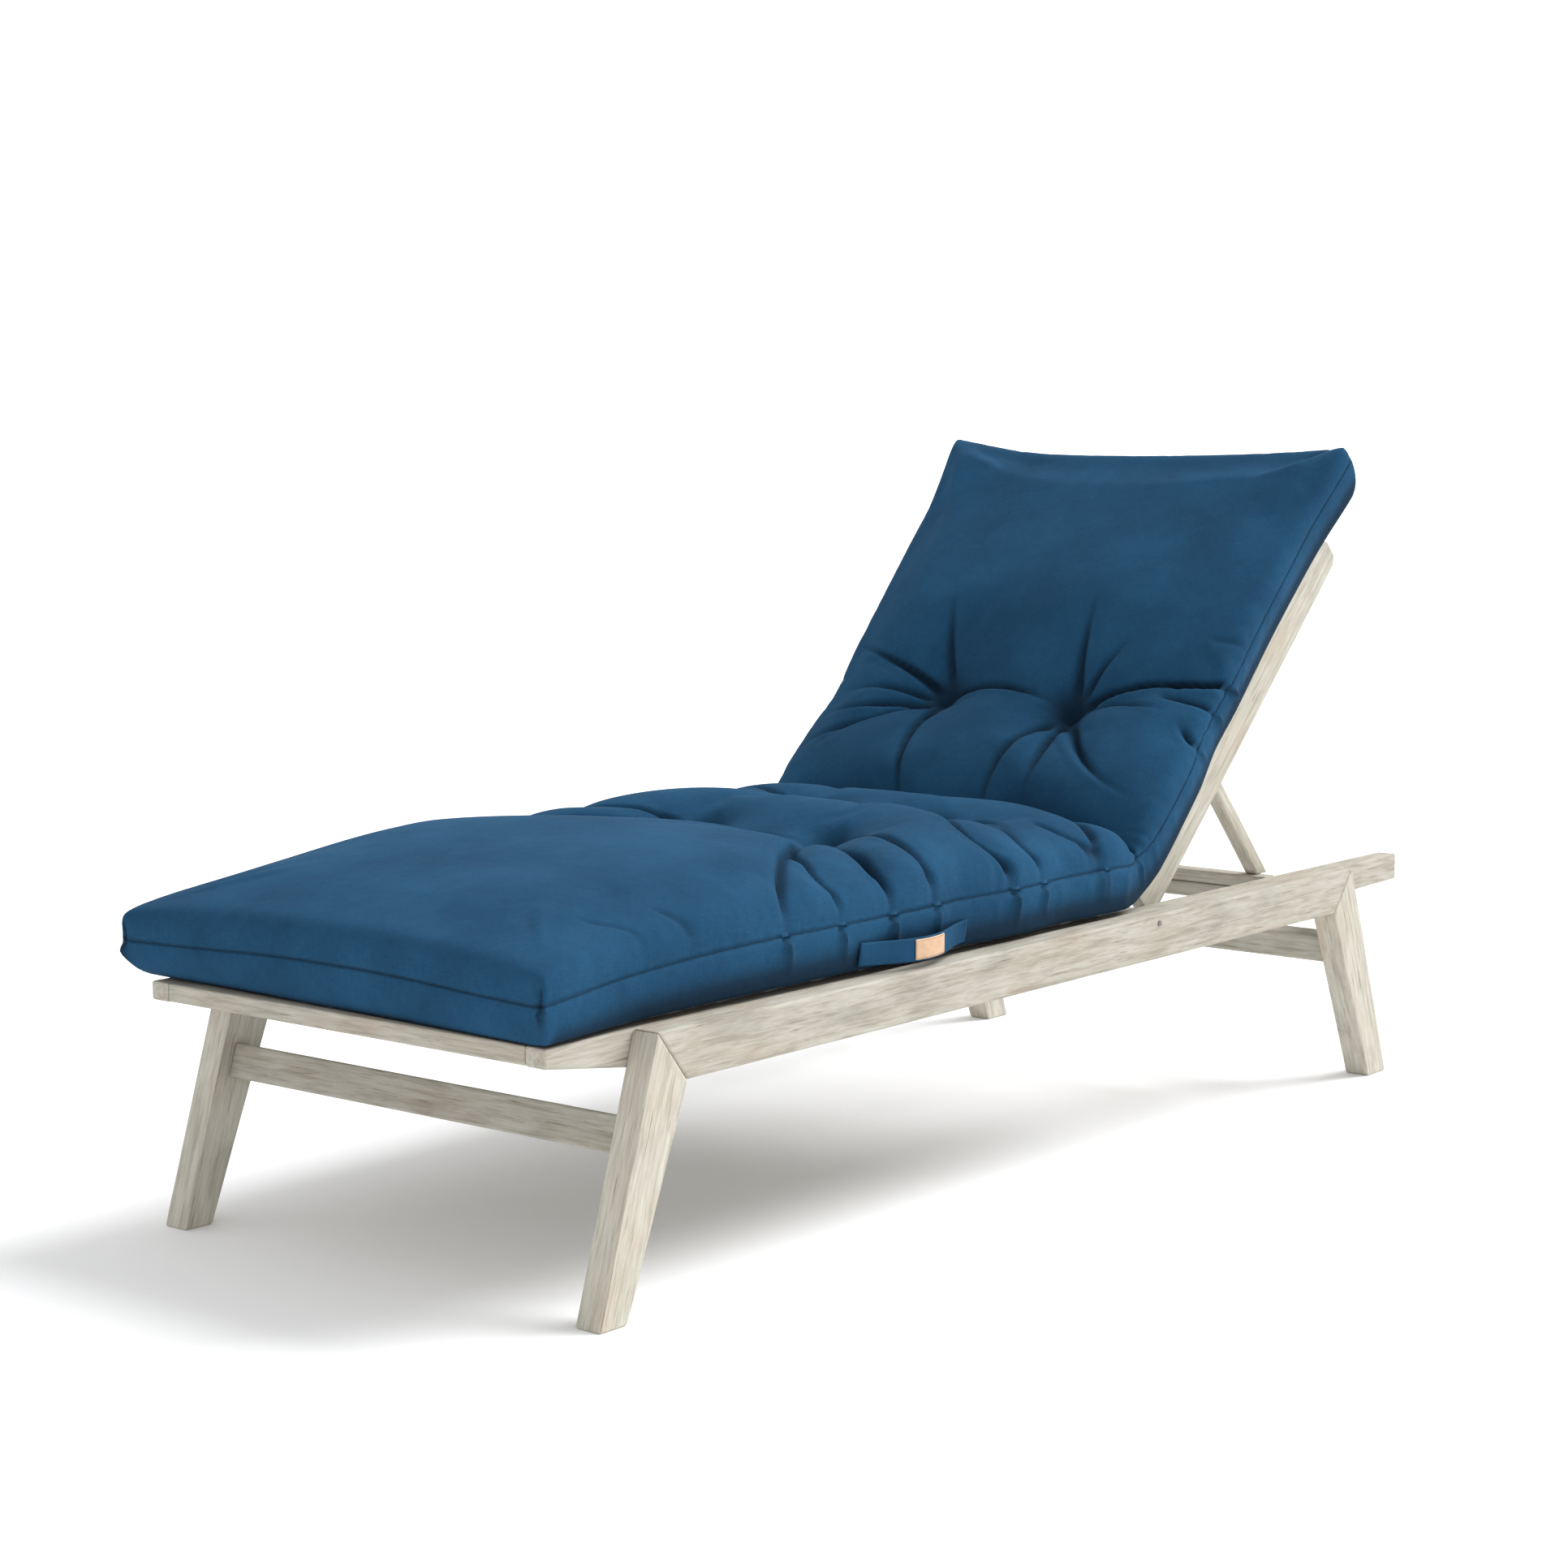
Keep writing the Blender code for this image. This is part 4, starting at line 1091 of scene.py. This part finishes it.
def make_handle():
    """The handle: a folded strip with hems, sewn down at both ends, and a bare tan patch sewn on it."""
    shares, levels = even(0, 1, STRAP_ALONG), even(0, 1, STRAP_ACROSS)

    def lifts(share, level):
        from_edge = min(level, 1 - level) * STRAP_WIDE
        rim = sin(pi / 2 * min(from_edge / STRAP_RIM, 1.0))
        hem = HEM_PROUD * max(0.0, 1 - abs(from_edge - STRAP_HEM / 2) / (STRAP_HEM / 2))
        inner = STRAP_THICK / 2 * (1 - rim)
        return inner, STRAP_THICK / 2 * (1 + rim) + hem

    strap = strip("handle_strap", shares, levels, lifts, fabric("handle_cloth_look"))
    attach(strap, "root")
    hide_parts("carry_handle")

    first, last = PATCH_SHARE
    low, high = 0.5 - PATCH_TALL / STRAP_WIDE / 2, 0.5 + PATCH_TALL / STRAP_WIDE / 2
    base = STRAP_THICK + HEM_PROUD

    def patch_lifts(share, level):
        from_edge = min((level - low) * STRAP_WIDE, (high - level) * STRAP_WIDE)
        rim = sin(pi / 2 * min(max(from_edge, 0) / PATCH_RIM, 1.0))
        return base, base + PATCH_THICK * (PATCH_AT_RIM + (1 - PATCH_AT_RIM) * rim)

    long_way, tall_way = even(first, last, PATCH_STEPS[0]), even(low, high, PATCH_STEPS[1])
    patch = strip("handle_tan_patch", long_way, tall_way, patch_lifts, tan_leather())
    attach(patch, "root")
    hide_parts("handle_patch")

    inset = PATCH_STITCH_IN / STRAP_WIDE
    top = base + PATCH_THICK
    runs = [stitch_run((first + PATCH_STITCH_END, level), (last - PATCH_STITCH_END, level), top)
            for level in (low + inset, high - inset)]
    patch_thread = stitches("patch_stitches", runs, plain("patch_thread", THREAD_BROWN, 0.7))
    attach(patch_thread, "root")

    hem = STRAP_HEM / STRAP_WIDE
    over = STRAP_THICK + STITCH_PROUD
    start, end = HEM_STITCHES
    runs = [stitch_run((start, level), (end, level), over) for level in (hem, 1 - hem)]
    runs += [stitch_run((share, hem), (share, 1 - hem), over) for share in END_STITCHES]
    sewn = stitches("handle_stitches", runs, plain("blue_thread", BLUE_DARK, 0.8))
    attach(sewn, "root")


# Wood and stage

def dress_frame():
    """Wood with its grain along each kind of piece, darker copies of it as painted shade on the rails, the
    back stiles and the pieces that run across, and steel for the bolts.
    """
    across = timber("timber_across_painted_shade", along="X", tone=RAIL_PAINTED_SHADE_TONE)
    looks = (
        (("side_rail", "bed_rail"), timber("timber_rail_painted_shade", tone=RAIL_PAINTED_SHADE_TONE)),
        (("front_leg",), timber("timber_front_leg", pi / 2 - LEG_LEAN)),
        (("rear_leg",), timber("timber_rear_leg", pi / 2 + LEG_LEAN)),
        (("back_stile",), timber("timber_stile_painted_shade", BACK_ANGLE, tone=STILE_PAINTED_SHADE_TONE)),
        (("prop_left", "prop_right"), timber("timber_prop", PROP_LEAN)),
        (("hinge_bolt",), dark_steel()),
    )
    for name, node in NODES.items():
        if name in ("cushion", "carry_handle", "handle_patch"):
            continue
        look = next((made for starts, made in looks if name.startswith(starts)), across)
        for place in node.material_slots:
            place.material = look


def set_stage():
    """A pale floor, and a sky that is brighter near the horizon."""
    mesh = bpy.data.meshes.new("floor")
    corners = [(x * FLOOR_REACH, y * FLOOR_REACH, 0) for x, y in ((-1, -1), (1, -1), (1, 1), (-1, 1))]
    mesh.from_pydata(corners, [], [(0, 1, 2, 3)])
    floor = add_piece("floor", mesh, plain("floor_white", FLOOR_WHITE, 0.9))
    world = bpy.data.worlds.new("studio")
    bpy.context.scene.world = world
    world.use_nodes = True
    tree = world.node_tree
    direction = tree.nodes.new("ShaderNodeTexCoord")
    split = tree.nodes.new("ShaderNodeSeparateXYZ")
    ramp = tree.nodes.new("ShaderNodeValToRGB")
    tree.links.new(direction.outputs["Generated"], split.inputs[0])
    tree.links.new(split.outputs["Z"], ramp.inputs["Fac"])
    tree.links.new(ramp.outputs["Color"], tree.nodes["Background"].inputs["Color"])
    for element, (place, level) in zip(ramp.color_ramp.elements, SKY):
        element.position = place
        element.color = (level, level, level, 1.0)
    scene = bpy.context.scene
    scene.view_settings.view_transform = "Standard"
    scene.view_settings.look = "None"


def set_lights():
    """One broad soft key, high behind the head end; the pale sky fills the rest."""
    data = bpy.data.lights.new("key", "SUN")
    data.energy = KEY_STRENGTH
    data.angle = KEY_BREADTH
    item = add_object("key", data)
    item.rotation_euler = (-Vector(KEY_FROM)).to_track_quat("-Z", "Y").to_euler()


def set_camera():
    data = bpy.data.cameras.new("camera")
    data.sensor_width = CAMERA_SENSOR
    data.lens = CAMERA_LENS
    data.shift_x, data.shift_y = CAMERA_SHIFT
    data.clip_start, data.clip_end = CAMERA_CLIP
    item = add_object("camera", data)
    level = cos(CAMERA_PITCH)
    toward = Vector((-sin(CAMERA_YAW) * level, cos(CAMERA_YAW) * level, sin(CAMERA_PITCH)))
    right = Vector((cos(CAMERA_YAW), sin(CAMERA_YAW), 0))
    upward = right.cross(toward)
    across = right * cos(CAMERA_ROLL) + upward * sin(CAMERA_ROLL)
    over = upward * cos(CAMERA_ROLL) - right * sin(CAMERA_ROLL)
    turned = Matrix((across, over, -toward)).transposed().to_4x4()
    item.matrix_world = Matrix.Translation(CAMERA_AT) @ turned
    bpy.context.scene.camera = item


set_camera()
set_stage()
set_lights()
dress_frame()
make_cushion()
make_handle()
